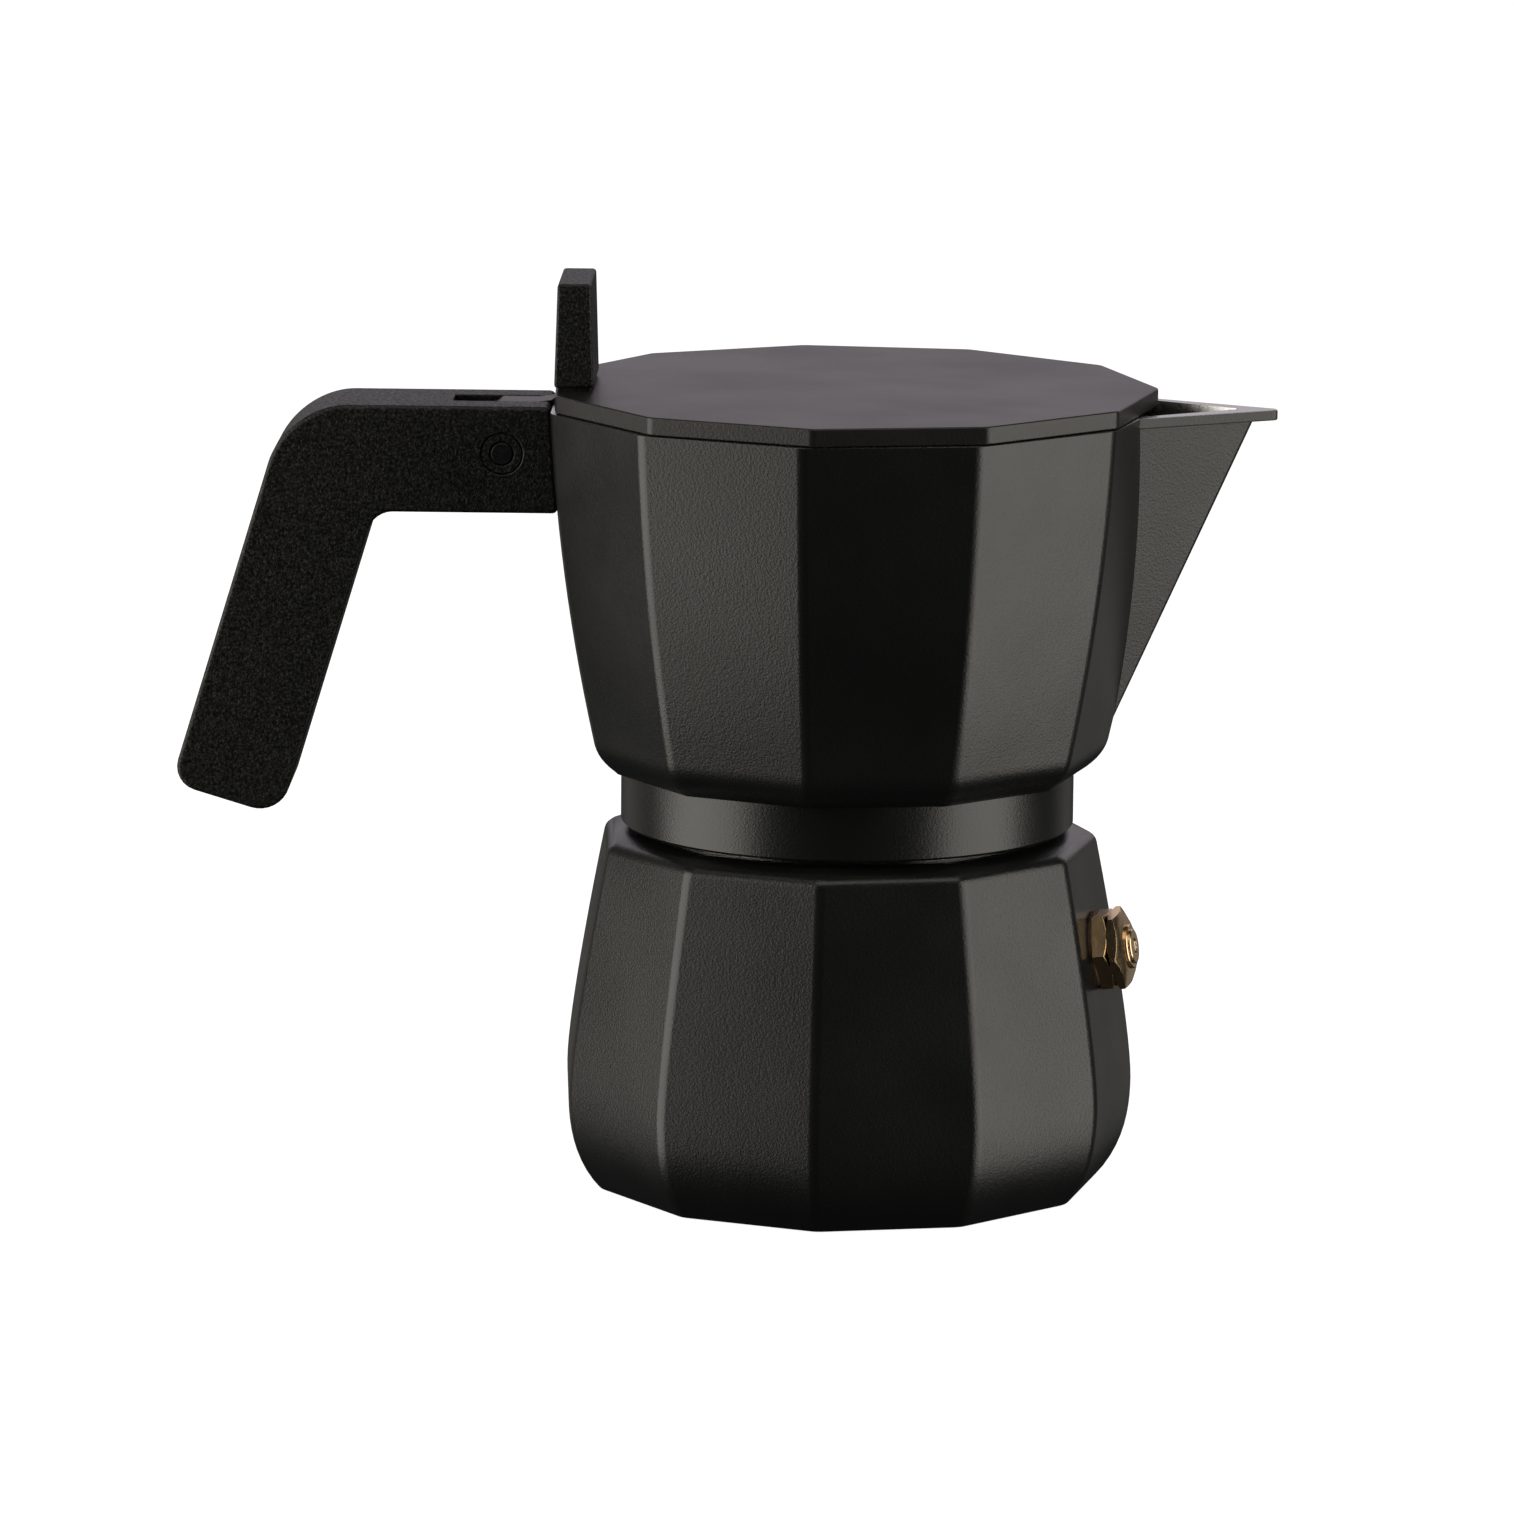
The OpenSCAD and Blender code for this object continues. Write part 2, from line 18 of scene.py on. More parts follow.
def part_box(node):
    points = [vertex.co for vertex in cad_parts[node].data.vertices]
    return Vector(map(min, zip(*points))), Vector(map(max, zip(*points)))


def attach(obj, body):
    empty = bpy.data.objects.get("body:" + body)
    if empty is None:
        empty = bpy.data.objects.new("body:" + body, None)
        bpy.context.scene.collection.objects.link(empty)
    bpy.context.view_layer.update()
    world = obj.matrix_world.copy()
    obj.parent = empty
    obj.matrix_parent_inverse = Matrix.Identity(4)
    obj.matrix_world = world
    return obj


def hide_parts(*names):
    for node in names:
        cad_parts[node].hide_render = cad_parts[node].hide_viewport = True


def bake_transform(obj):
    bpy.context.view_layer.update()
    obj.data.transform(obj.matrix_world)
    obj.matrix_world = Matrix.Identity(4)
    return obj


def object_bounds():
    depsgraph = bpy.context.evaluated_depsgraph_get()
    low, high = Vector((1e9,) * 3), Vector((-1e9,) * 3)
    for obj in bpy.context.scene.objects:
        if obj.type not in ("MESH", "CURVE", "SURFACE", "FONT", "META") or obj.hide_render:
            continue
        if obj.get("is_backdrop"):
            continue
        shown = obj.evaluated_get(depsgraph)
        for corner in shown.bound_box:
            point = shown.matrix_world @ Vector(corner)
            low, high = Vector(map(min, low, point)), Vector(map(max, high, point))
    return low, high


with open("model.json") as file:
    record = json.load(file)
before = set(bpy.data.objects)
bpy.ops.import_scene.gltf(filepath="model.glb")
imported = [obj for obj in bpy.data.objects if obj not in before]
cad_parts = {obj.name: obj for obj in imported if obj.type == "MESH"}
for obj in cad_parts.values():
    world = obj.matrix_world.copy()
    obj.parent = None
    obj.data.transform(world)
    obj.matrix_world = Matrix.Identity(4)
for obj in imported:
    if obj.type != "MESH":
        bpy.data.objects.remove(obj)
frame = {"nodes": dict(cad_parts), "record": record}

cad_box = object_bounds()

# %% [markdown]
# The lesson counts in millimetres, as the pot's drawing does, and turns a piece to metres when it is
# finished. Heights and ends that two parts share are read from the boxes of the engineering parts. The
# boiler, the chamber and the lid have eleven sides; a facet's middle is nearer to the axis than a corner.

# %% Sizes that the parts share
MM = 0.001
SIDES = 11
HALF_FACET = math.pi / SIDES
FLAT_SHARE = math.cos(HALF_FACET)


def box_mm(node):
    """Lowest and highest corner of an engineering part, in millimetres."""
    low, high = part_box(node)
    return Vector(low) / MM, Vector(high) / MM


MOUTH_Z = box_mm("upper_chamber")[1].z
COLLAR_Z = box_mm("upper_chamber")[0].z
RIM_Z = box_mm("boiler")[1].z
LID_SEAM = 0.15
LID_Z = MOUTH_Z + LID_SEAM
LID_TOP = box_mm("lid")[1].z
PIN_X = (box_mm("hinge_pin")[0].x + box_mm("hinge_pin")[1].x) / 2
PIN_Z = (box_mm("hinge_pin")[0].z + box_mm("hinge_pin")[1].z) / 2
print("mouth", round(MOUTH_Z, 2), "rim", round(RIM_Z, 2), "lid top", round(LID_TOP, 2))
print("hinge pin at x", round(PIN_X, 2), "z", round(PIN_Z, 2))

# %% [markdown]
# ## Camera
# A long lens a good way off keeps the upright edges nearly parallel, as in a catalogue picture. The
# camera is placed by its turn, its height angle and its distance, and rolled by half a degree.

# %% Camera
TURN, HEIGHT, ROLL = math.radians(1.2), math.radians(10.505), math.radians(0.493)
DISTANCE = 1370.27
AIM_SIDE, AIM_HEIGHT = -14.80, 69.69
SENSOR_W, FOCAL_LENGTH = 36, 199.3

back = Vector((
    math.sin(TURN) * math.cos(HEIGHT),
    -math.cos(TURN) * math.cos(HEIGHT),
    math.sin(HEIGHT),
))
right = Vector((math.cos(TURN), math.sin(TURN), 0))
place = right * AIM_SIDE + Vector((0, 0, AIM_HEIGHT)) + back * DISTANCE
axes = Matrix((right, back.cross(right), back)).transposed()
lens = bpy.data.cameras.new("camera")
lens.sensor_width = SENSOR_W
lens.lens = FOCAL_LENGTH
lens.clip_end = 20
camera = bpy.data.objects.new("camera", lens)
bpy.context.scene.collection.objects.link(camera)
camera.matrix_world = Matrix.Translation(place * MM) @ (axes @ Matrix.Rotation(ROLL, 3, "Z")).to_4x4()
bpy.context.scene.camera = camera
print("camera at", [round(v, 3) for v in camera.matrix_world.translation])

# %% [markdown]
# ## Finishes
# A finish is a small network of shader nodes. Two helpers are enough: one turns the hex colours that
# paint charts use into the linear numbers that a renderer adds up, and one adds a node.

# %% Colour and node helpers
def linear(hex_colour):
    """Linear red, green, blue and alpha of an sRGB hex colour."""
    parts = [int(hex_colour[i:i + 2], 16) / 255 for i in (1, 3, 5)]
    return [c / 12.92 if c <= 0.04045 else ((c + 0.055) / 1.055) ** 2.4 for c in parts] + [1]


def add(tree, kind, inputs=None, **settings):
    """Adds a node with its settings; an input is a value or another node's output."""
    made = tree.nodes.new(kind)
    for key, value in settings.items():
        setattr(made, key, value)
    for key, value in (inputs or {}).items():
        if isinstance(value, bpy.types.NodeSocket):
            tree.links.new(value, made.inputs[key])
        else:
            made.inputs[key].default_value = value
    return made


def new_finish(name):
    """A material with an empty node tree, and the coordinates of the piece in metres."""
    finish = bpy.data.materials.new(name)
    finish.use_nodes = True
    tree = finish.node_tree
    tree.nodes.clear()
    place_in_piece = add(tree, "ShaderNodeTexCoord").outputs["Object"]
    return finish, tree, place_in_piece


def per_mm(size):
    """Texture scale that gives features of this size in millimetres on Object coordinates in metres."""
    return 1 / (size * MM)


print("features of 1 mm need a texture scale of", per_mm(1))

# %% [markdown]
# **Paint.** The castings are sprayed with a heat-proof satin paint and baked. Close up it has a fine
# grain from the blasted casting underneath and from the spray. The real grain is about 0.2 mm across;
# here it is 0.4 mm, so that it shows. It tilts the surface a little, so a highlight breaks into a soft
# sheen. A slower wave lets the sheen vary over a facet as hand-sprayed paint does. The lid's paint is
# warmer than the body's and a little rougher.

# %% Paint over cast aluminium
GRAIN_MM, GRAIN_DEPTH_MM, WAVE_MM = 0.4, 0.05, 18


def satin_paint(name, dark, light, rough_low, rough_high):
    """Dark satin paint: grain in the relief and the tone, a slow wave in the gloss."""
    finish, tree, where = new_finish(name)
    grain = add(tree, "ShaderNodeTexNoise", {"Vector": where, "Scale": per_mm(GRAIN_MM), "Detail": 2.0})
    wave = add(tree, "ShaderNodeTexNoise", {"Vector": where, "Scale": per_mm(WAVE_MM), "Detail": 2.0})
    tone = add(tree, "ShaderNodeMix", {
        "Factor": grain.outputs["Fac"], "A": linear(dark), "B": linear(light),
    }, data_type="RGBA")
    gloss = add(tree, "ShaderNodeMapRange", {
        "Value": wave.outputs["Fac"], "From Min": 0.3, "From Max": 0.7,
        "To Min": rough_low, "To Max": rough_high,
    })
    relief = add(tree, "ShaderNodeBump", {
        "Height": grain.outputs["Fac"], "Strength": 0.75, "Distance": GRAIN_DEPTH_MM * MM,
    })
    shader = add(tree, "ShaderNodeBsdfPrincipled", {
        "Base Color": tone.outputs["Result"], "Roughness": gloss.outputs["Result"],
        "Normal": relief.outputs["Normal"], "IOR": 1.5,
    })
    add(tree, "ShaderNodeOutputMaterial", {"Surface": shader.outputs["BSDF"]})
    return finish


body_paint = satin_paint("Sprayed_satin_paint_body", "#090a0a", "#111212", 0.29, 0.35)
lid_paint = satin_paint("Sprayed_satin_paint_lid", "#0e0c0c", "#171415", 0.36, 0.41)
print("paints:", body_paint.name, lid_paint.name)

# %% [markdown]
# **Bare metals.** The boiler's hollow, its neck and the threads are turned aluminium, with faint rings
# from the cutting tool. The chamber's inside and the spun funnel are tumbled in a drum with small
# stones, so they shine but have no direction. The brass valve is polished, its spring and piston and
# the screw are drawn steel, and the hinge pin is blackened. The marks are 0.4 to 1.5 mm across, which
# is coarser than real ones, so that they show. A metal keeps the usual IOR, because its base colour is
# already the colour of its reflection.

# %% Bare metals
def bare_metal(name, dark, light, rough_low, rough_high, mark_mm, stretch, depth_mm):
    """Metal with marks of one size; stretch squeezes them in height, which gives lines round the axis."""
    finish, tree, where = new_finish(name)
    squeezed = add(tree, "ShaderNodeMapping", {"Vector": where, "Scale": (1, 1, stretch)})
    marks = add(tree, "ShaderNodeTexNoise", {
        "Vector": squeezed.outputs["Vector"], "Scale": per_mm(mark_mm), "Detail": 4.0,
    })
    tone = add(tree, "ShaderNodeMix", {
        "Factor": marks.outputs["Fac"], "A": linear(dark), "B": linear(light),
    }, data_type="RGBA")
    gloss = add(tree, "ShaderNodeMapRange", {
        "Value": marks.outputs["Fac"], "From Min": 0.3, "From Max": 0.7,
        "To Min": rough_low, "To Max": rough_high,
    })
    relief = add(tree, "ShaderNodeBump", {
        "Height": marks.outputs["Fac"], "Strength": 0.3, "Distance": depth_mm * MM,
    })
    shader = add(tree, "ShaderNodeBsdfPrincipled", {
        "Base Color": tone.outputs["Result"], "Roughness": gloss.outputs["Result"],
        "Normal": relief.outputs["Normal"], "Metallic": 1.0,
    })
    add(tree, "ShaderNodeOutputMaterial", {"Surface": shader.outputs["BSDF"]})
    return finish


# dark and light tone, lowest and highest roughness, size of the marks, stretch, depth
turned_aluminium = bare_metal("Turned_aluminium", "#c9cac9", "#d6d7d6", 0.26, 0.34, 9, 22, 0.003)
tumbled_aluminium = bare_metal("Tumbled_aluminium", "#bdbebc", "#d0d1cf", 0.24, 0.34, 0.8, 1, 0.007)
polished_brass = bare_metal("Polished_brass", "#cda97e", "#e6caa2", 0.2, 0.26, 1.5, 1, 0.001)
spring_steel = bare_metal("Drawn_steel", "#9a9a99", "#bcbcba", 0.2, 0.32, 0.4, 1, 0.01)
dark_steel = bare_metal("Blackened_steel", "#2e2e30", "#3c3c3e", 0.4, 0.55, 0.4, 1, 0.02)
print("metals ready")

# %% [markdown]
# ** Handle plastic.** The handle and the knob are moulded nylon filled with glass. The mould is
# spark-eroded, so the skin is covered in tiny rounded pits, whose rims catch the light. Here that
# glint is painted: the rims get a lighter colour, as painted highlight specks, on top of the pits in the
# relief. The real pits are about 0.15 mm apart; here they are 0.3 mm, so that they show. A Voronoi
# pattern gives the pits, and noise keeps them from looking regular. The soft seals have the same kind
# of skin, much shallower.

# %% Moulded plastic and the small soft parts
def speckled_plastic(name, dark, light, rough_low, rough_high, pit_mm, depth_mm):
    """Moulded skin with pits of one size; the pits' rims get a lighter colour as painted highlights."""
    finish, tree, where = new_finish(name)
    pits = add(tree, "ShaderNodeTexVoronoi", {"Vector": where, "Scale": per_mm(pit_mm)})
    haze = add(tree, "ShaderNodeTexNoise", {"Vector": where, "Scale": per_mm(pit_mm * 1.7), "Detail": 3.0})
    height = add(tree, "ShaderNodeMath", {
        0: pits.outputs["Distance"], 1: haze.outputs["Fac"],
    }, operation="MULTIPLY")
    # painted highlights: the rims of the pits are coloured lighter, in place of the light that they catch
    painted_rim_highlights = add(tree, "ShaderNodeMapRange", {
        "Value": height.outputs["Value"], "From Min": 0.24, "From Max": 0.5,
    })
    tone = add(tree, "ShaderNodeMix", {
        "Factor": painted_rim_highlights.outputs["Result"], "A": linear(dark), "B": linear(light),
    }, data_type="RGBA")
    gloss = add(tree, "ShaderNodeMapRange", {
        "Value": haze.outputs["Fac"], "From Min": 0.35, "From Max": 0.65,
        "To Min": rough_low, "To Max": rough_high,
    })
    relief = add(tree, "ShaderNodeBump", {
        "Height": height.outputs["Value"], "Strength": 0.8, "Distance": depth_mm * MM,
    })
    shader = add(tree, "ShaderNodeBsdfPrincipled", {
        "Base Color": tone.outputs["Result"], "Roughness": gloss.outputs["Result"],
        "Normal": relief.outputs["Normal"], "IOR": 1.38,
    })
    add(tree, "ShaderNodeOutputMaterial", {"Surface": shader.outputs["BSDF"]})
    return finish


# dark tone, lighter tone of the painted rim highlights, lowest and highest roughness, distance of the pits,
# depth
handle_nylon = speckled_plastic("Spark_textured_nylon", "#070707", "#303032", 0.36, 0.6, 0.3, 0.16)
white_silicone = speckled_plastic("Moulded_silicone", "#cfcabd", "#dedacf", 0.55, 0.66, 0.9, 0.02)
red_rubber = speckled_plastic("Red_silicone_rubber", "#8e3024", "#a23a2c", 0.55, 0.66, 0.6, 0.02)
red_fibre = speckled_plastic("Vulcanised_fibre", "#4f3a2c", "#6a5040", 0.6, 0.75, 0.4, 0.03)
print("plastics ready")

# %% [markdown]
# ## Modelling helpers
# Three kinds of solid make up the whole pot. A *facet stack* is an eleven-sided ring that is extruded
# upwards and resized at each step. A *turned* solid is half a section spun round the axis, as on a
# lathe. A *plate* is a flat outline pushed to a thickness. Bevels soften their edges, and the pieces
# are then joined or cut with the Boolean tool, as a pattern maker adds and cuts blocks.

# %% Curves and facet stacks
def curve(a, b, c, d, steps):
    """Points of a Bezier curve after its first point."""
    a, b, c, d = (Vector(p) for p in (a, b, c, d))
    times = [i / steps for i in range(1, steps + 1)]
    return [(1 - t) ** 3 * a + 3 * (1 - t) ** 2 * t * b + 3 * (1 - t) * t * t * c + t ** 3 * d for t in times]


def facet_stack(outline, turn=0.0):
    """Closed eleven-sided solid through [corner radius, height] points."""
    bm = bmesh.new()
    radius, height = outline[0]
    start = Matrix.Translation((0, 0, height)) @ Matrix.Rotation(turn - math.pi / 2, 4, "Z")
    bmesh.ops.create_circle(bm, cap_ends=True, segments=SIDES, radius=radius, matrix=start)
    edges = bm.edges[:]
    for new_radius, new_height in outline[1:]:
        grown = bmesh.ops.extrude_edge_only(bm, edges=edges)["geom"]
        corners = [g for g in grown if isinstance(g, bmesh.types.BMVert)]
        edges = [g for g in grown if isinstance(g, bmesh.types.BMEdge)]
        bmesh.ops.scale(bm, vec=(new_radius / radius, new_radius / radius, 1), verts=corners)
        bmesh.ops.translate(bm, vec=(0, 0, new_height - height), verts=corners)
        radius, height = new_radius, new_height
    bmesh.ops.edgeloop_fill(bm, edges=edges)
    bmesh.ops.recalc_face_normals(bm, faces=bm.faces)
    return bm


print("a curve ends at its last point:", curve((0, 0), (1, 0), (2, 1), (2, 2), 4)[-1][:])


# %% Turned solids, plates and blocks
def turned(section, steps=96, axis_frame=None):
    """Closed solid from the [radius, height] points of its section, spun round Z or another axis."""
    bm = bmesh.new()
    points = [bm.verts.new((r, 0, z)) for r, z in section]
    lines = [bm.edges.new((points[i], points[i - 1])) for i in range(len(points))]
    lines = [e for e in lines if max(v.co.x for v in e.verts) > 1e-6]
    bmesh.ops.spin(
        bm, geom=points + lines, cent=(0, 0, 0), axis=(0, 0, 1),
        angle=math.tau, steps=steps, use_merge=True, use_duplicate=False,
    )
    bmesh.ops.remove_doubles(bm, verts=bm.verts, dist=1e-4)
    loose = [e for e in bm.edges if not e.link_faces]
    bmesh.ops.delete(bm, geom=loose, context="EDGES")
    bmesh.ops.recalc_face_normals(bm, faces=bm.faces)
    if axis_frame:
        bmesh.ops.transform(bm, matrix=axis_frame, verts=bm.verts)
    return bm


def plate(corners, push):
    """Closed solid: a flat outline of points, pushed along a vector."""
    bm = bmesh.new()
    face = bm.faces.new([bm.verts.new(c) for c in corners])
    pushed = bmesh.ops.extrude_face_region(bm, geom=[face])["geom"]
    moved = [g for g in pushed if isinstance(g, bmesh.types.BMVert)]
    bmesh.ops.translate(bm, vec=push, verts=moved)
    bmesh.ops.recalc_face_normals(bm, faces=bm.faces)
    return bm


def block(low, high):
    """Box between two corners."""
    low, high = Vector(low), Vector(high)
    bm = bmesh.new()
    size = Matrix.Diagonal((*(high - low), 1))
    bmesh.ops.create_cube(bm, size=1, matrix=Matrix.Translation((low + high) / 2) @ size)
    return bm


print("solids: turned, plate, block")

# %% [markdown]
# A bevel rounds the edges that stand up or lie sharp. The choice of edges is by a test, so one helper
# serves the corners of the facets as well as the rim of the handle. Joining and cutting uses the exact
# Boolean solver on throw-away objects, and each face keeps the finish of the piece it came from.

# %% Bevels and Booleans
def soften(bm, width, segments, test=lambda edge: True, angle=12):
    """Rounds the edges that are sharper than an angle and pass a test."""
    sharp = [e for e in bm.edges if len(e.link_faces) == 2 and e.calc_face_angle() > math.radians(angle)]
    chosen = [e for e in sharp if test(e)]
    bmesh.ops.bevel(
        bm, geom=chosen, offset=width, offset_type="OFFSET", segments=segments, profile=0.5,
        affect="EDGES", material=-1, clamp_overlap=True,
    )
    return bm


def upright(edge):
    """True for an edge that climbs."""
    rise = edge.verts[0].co - edge.verts[1].co
    return abs(rise.z) > 0.6 * rise.length


def paint_with(bm, index):
    """Gives every face the finish with this place in the piece's list."""
    for face in bm.faces:
        face.material_index = index
    return bm


def combine(base, tool, operation, finishes):
    """Joins or cuts base with tool (both are used up), and gives back the result."""
    objects = []
    for bm in (base, tool):
        mesh = bpy.data.meshes.new("throw_away")
        bm.to_mesh(mesh)
        bm.free()
        for finish in finishes:
            mesh.materials.append(finish)
        objects.append(bpy.data.objects.new("throw_away", mesh))
        bpy.context.scene.collection.objects.link(objects[-1])
    cut = objects[0].modifiers.new("cut", "BOOLEAN")
    cut.operation = operation
    cut.solver = "EXACT"
    cut.material_mode = "INDEX"
    cut.object = objects[1]
    bpy.context.view_layer.update()
    ready = objects[0].evaluated_get(bpy.context.evaluated_depsgraph_get())
    result = bmesh.new()
    result.from_mesh(ready.to_mesh())
    ready.to_mesh_clear()
    for thing in objects:
        mesh = thing.data
        bpy.data.objects.remove(thing)
        bpy.data.meshes.remove(mesh)
    return result


print("edge and Boolean tools ready")

# %% [markdown]
# A finished piece is turned to metres, shaded smooth but for its sharp edges, and told which body it
# rides on; the engineering part that it stands for is hidden. A Bevel modifier breaks the edges that
# the Boolean left sharp, where a piece asks for it.

# %% Finished pieces
SAME_POINT_MM = 0.002


def finished(bm, name, body, finishes, nodes=(), bevel=0.0, sharp=38):
    """Makes a solid a piece of the pot; one with no body is left without a parent."""
    if nodes:
        low, high = (Vector(map(f, zip(*(v.co for v in bm.verts)))) for f in (min, max))
        cad_low, cad_high = box_mm(nodes[0])
        print(name, "differs from the engineering part's box by",
              round((low - cad_low).length, 2), "and", round((high - cad_high).length, 2), "mm")
    bmesh.ops.remove_doubles(bm, verts=bm.verts, dist=SAME_POINT_MM)
    bmesh.ops.scale(bm, vec=(MM, MM, MM), verts=bm.verts)
    mesh = bpy.data.meshes.new(name)
    bm.to_mesh(mesh)
    bm.free()
    for finish in finishes:
        mesh.materials.append(finish)
    mesh.shade_smooth()
    mesh.set_sharp_from_angle(angle=math.radians(sharp))
    piece = bpy.data.objects.new(name, mesh)
    bpy.context.scene.collection.objects.link(piece)
    if bevel:
        round_off = piece.modifiers.new("edges", "BEVEL")
        round_off.width = bevel * MM
        round_off.segments = 2
        round_off.limit_method = "ANGLE"
        round_off.angle_limit = math.radians(30)
        round_off.miter_outer = "MITER_ARC"
    even = piece.modifiers.new("even_shading", "WEIGHTED_NORMAL")
    even.weight = 60
    even.keep_sharp = True
    if body:
        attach(piece, body)
    if nodes:
        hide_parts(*nodes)
    print(name, len(mesh.vertices), "vertices", len(mesh.polygons), "faces")
    return piece


print("finishing tool ready")

# %% [markdown]
# ## Safety valve's axis
# The valve sits square on one leaning facet of the boiler. Its axis is the one that its piston slides
# along, and its seat is the underside of the fibre washer. Z of the valve's own axes points outwards.

# %% Boiler outline and valve axis
BOILER_TURN = math.radians(3)
SEAT_Z = 58.7
foot, belly, shoulder = Vector((41.8, 0)), Vector((47.4, 16.4)), Vector((41.2, 55.9))
boiler_outline = [foot]
boiler_outline += curve(foot, foot + Vector((5, 5.2)), belly - Vector((0, 4.5)), belly, 10)
boiler_outline += curve(belly, belly + Vector((0, 7.2)), shoulder + Vector((2.3, -11.3)), shoulder, 14)
boiler_outline += curve(shoulder, shoulder + Vector((-0.3, 1.5)), (39.5, SEAT_Z - 0.9), (36, SEAT_Z), 7)

record_axis = next(j for j in frame["record"]["behaviour"]["joints"] if j["name"] == "valve_lift")["axis"]
valve_out = Vector(record_axis).normalized()
washer_low, washer_high = box_mm("valve_washer")
HALF_WASHER = 0.25
valve_seat = (washer_low + washer_high) / 2 - valve_out * HALF_WASHER
valve_frame = Matrix.Translation(valve_seat) @ valve_out.to_track_quat("Z", "Y").to_matrix().to_4x4()
print("valve seat at", [round(v, 2) for v in valve_seat])

# %% [markdown]
# ## Boiler
# The lower half is one aluminium casting. Its facets bulge like a barrel at the belly, roll inwards at
# the foot and round over at the shoulder, and the corners between them are rounded by about a
# millimetre, where they catch a thin line of light. A facet stack gives the barrel, a bevel the
# corners. The hollow and the round neck are turned, because on the real pot a lathe cuts them. A round
# pad is left inside the wall where the valve goes through.

# %% Boiler casting
PAINTED, BARE = 0, 1
LATHE_STEPS, SHANK_R = 128, 4.9
boiler_finishes = [body_paint, turned_aluminium]
boiler = facet_stack(boiler_outline, BOILER_TURN)
soften(boiler, 1.0, 4, upright)
soften(boiler, 0.5, 3, lambda e: max(v.co.z for v in e.verts) < 0.1, 30)

print("outside of the boiler:", len(boiler.faces), "faces")

# %% Neck, hollow and valve hole
neck_section = [(0, 50), (32.0, 50), (32.0, RIM_Z - 0.6), (31.4, RIM_Z), (0, RIM_Z)]
neck = paint_with(turned(neck_section, LATHE_STEPS), BARE)
boiler = combine(boiler, neck, "UNION", boiler_finishes)

hollow_section = [Vector((0, 3.2)), Vector((34, 3.2))]
hollow_section += curve((34, 3.2), (40.5, 3.2), (42.3, 9), (42.3, 17), 8)
hollow_section += curve((42.3, 17), (42.3, 25), (39, 44), (36.4, 53), 8)
hollow_section += curve((36.4, 53), (35.8, 55.4), (33, 56.2), (28, 57), 5)
hollow_section += [Vector((28, RIM_Z - 0.5)), Vector((28.6, RIM_Z + 0.1)), Vector((0, RIM_Z + 0.1))]
hollow = paint_with(turned(hollow_section, LATHE_STEPS), BARE)
boss = turned([(0, -5.5), (8.1, -5.5), (8.5, -5.1), (8.5, 0.5), (0, 0.5)], 48, valve_frame)
hollow = combine(hollow, paint_with(boss, BARE), "DIFFERENCE", boiler_finishes)
boiler = combine(boiler, hollow, "DIFFERENCE", boiler_finishes)
valve_hole = turned([(0, -12), (SHANK_R, -12), (SHANK_R, 8), (0, 8)], 48, valve_frame)
boiler = combine(boiler, paint_with(valve_hole, BARE), "DIFFERENCE", boiler_finishes)
finished(boiler, "boiler_casting", "boiler_body", boiler_finishes, ["boiler"])

# %% [markdown]
# ## Threads
# The neck carries a coarse thread of 3 mm pitch, and the collar has its partner inside. A thread is a
# small trapezium that climbs as it turns. Spin has an extra step along the axis for that. The crests
# stop short of each other, so the two never touch while the pot is unscrewed.

# %% Neck thread and collar thread
PITCH, STEPS_A_TURN = 3.0, 72


def thread(root, crest, low, high):
    """Ridge of a thread between a root and a crest radius."""
    bm = bmesh.new()
    corners = [(root, -0.8), (crest, -0.35), (crest, 0.35), (root, 0.8)]
    loop = [bm.verts.new((r, 0, low + z)) for r, z in corners]
    edges = [bm.edges.new((loop[i], loop[i - 1])) for i in range(4)]
    turns = (high - low) / PITCH
    steps = round(turns * STEPS_A_TURN)
    bmesh.ops.spin(
        bm, geom=loop + edges, cent=(0, 0, 0), axis=(0, 0, 1), dvec=(0, 0, PITCH / STEPS_A_TURN),
        angle=turns * math.tau, steps=steps, use_merge=False, use_duplicate=False,
    )
    bmesh.ops.remove_doubles(bm, verts=bm.verts, dist=1e-4)
    rims = [e for e in bm.edges if len(e.link_faces) == 1]
    bmesh.ops.holes_fill(bm, edges=rims, sides=4)
    bmesh.ops.recalc_face_normals(bm, faces=bm.faces)
    return bm


neck_thread = thread(root=31.9, crest=33.0, low=SEAT_Z + 1.8, high=RIM_Z - 1.6)
finished(neck_thread, "neck_thread", "boiler_body", [turned_aluminium])
collar_thread = thread(root=34.3, crest=33.35, low=COLLAR_Z + 2.0, high=RIM_Z - 0.8)
finished(collar_thread, "collar_thread", "upper", [turned_aluminium])

# %% [markdown]
# ## Upper chamber
# The upper casting flares from a round collar to an eleven-sided mouth, and a wedge spout grows out of
# one corner. It is built as the pattern would be: the flared stack, the wedge and the thin lip are
# joined, the inside is cut out at one wall thickness, and the round collar with its bores is turned.

# %% Flare of the chamber
WAIST_R, WAIST_Z, BULGE, WALL = 42.9, 74.3, 1.2, 2.6
MOUTH_R = 50.3
WALL_STEP = WALL / FLAT_SHARE


def side_r(z):
    """Corner radius of the chamber's side at a height."""
    t = (z - WAIST_Z) / (MOUTH_Z - WAIST_Z)
    return WAIST_R + (MOUTH_R - WAIST_R) * t + 4 * BULGE * t * (1 - t)


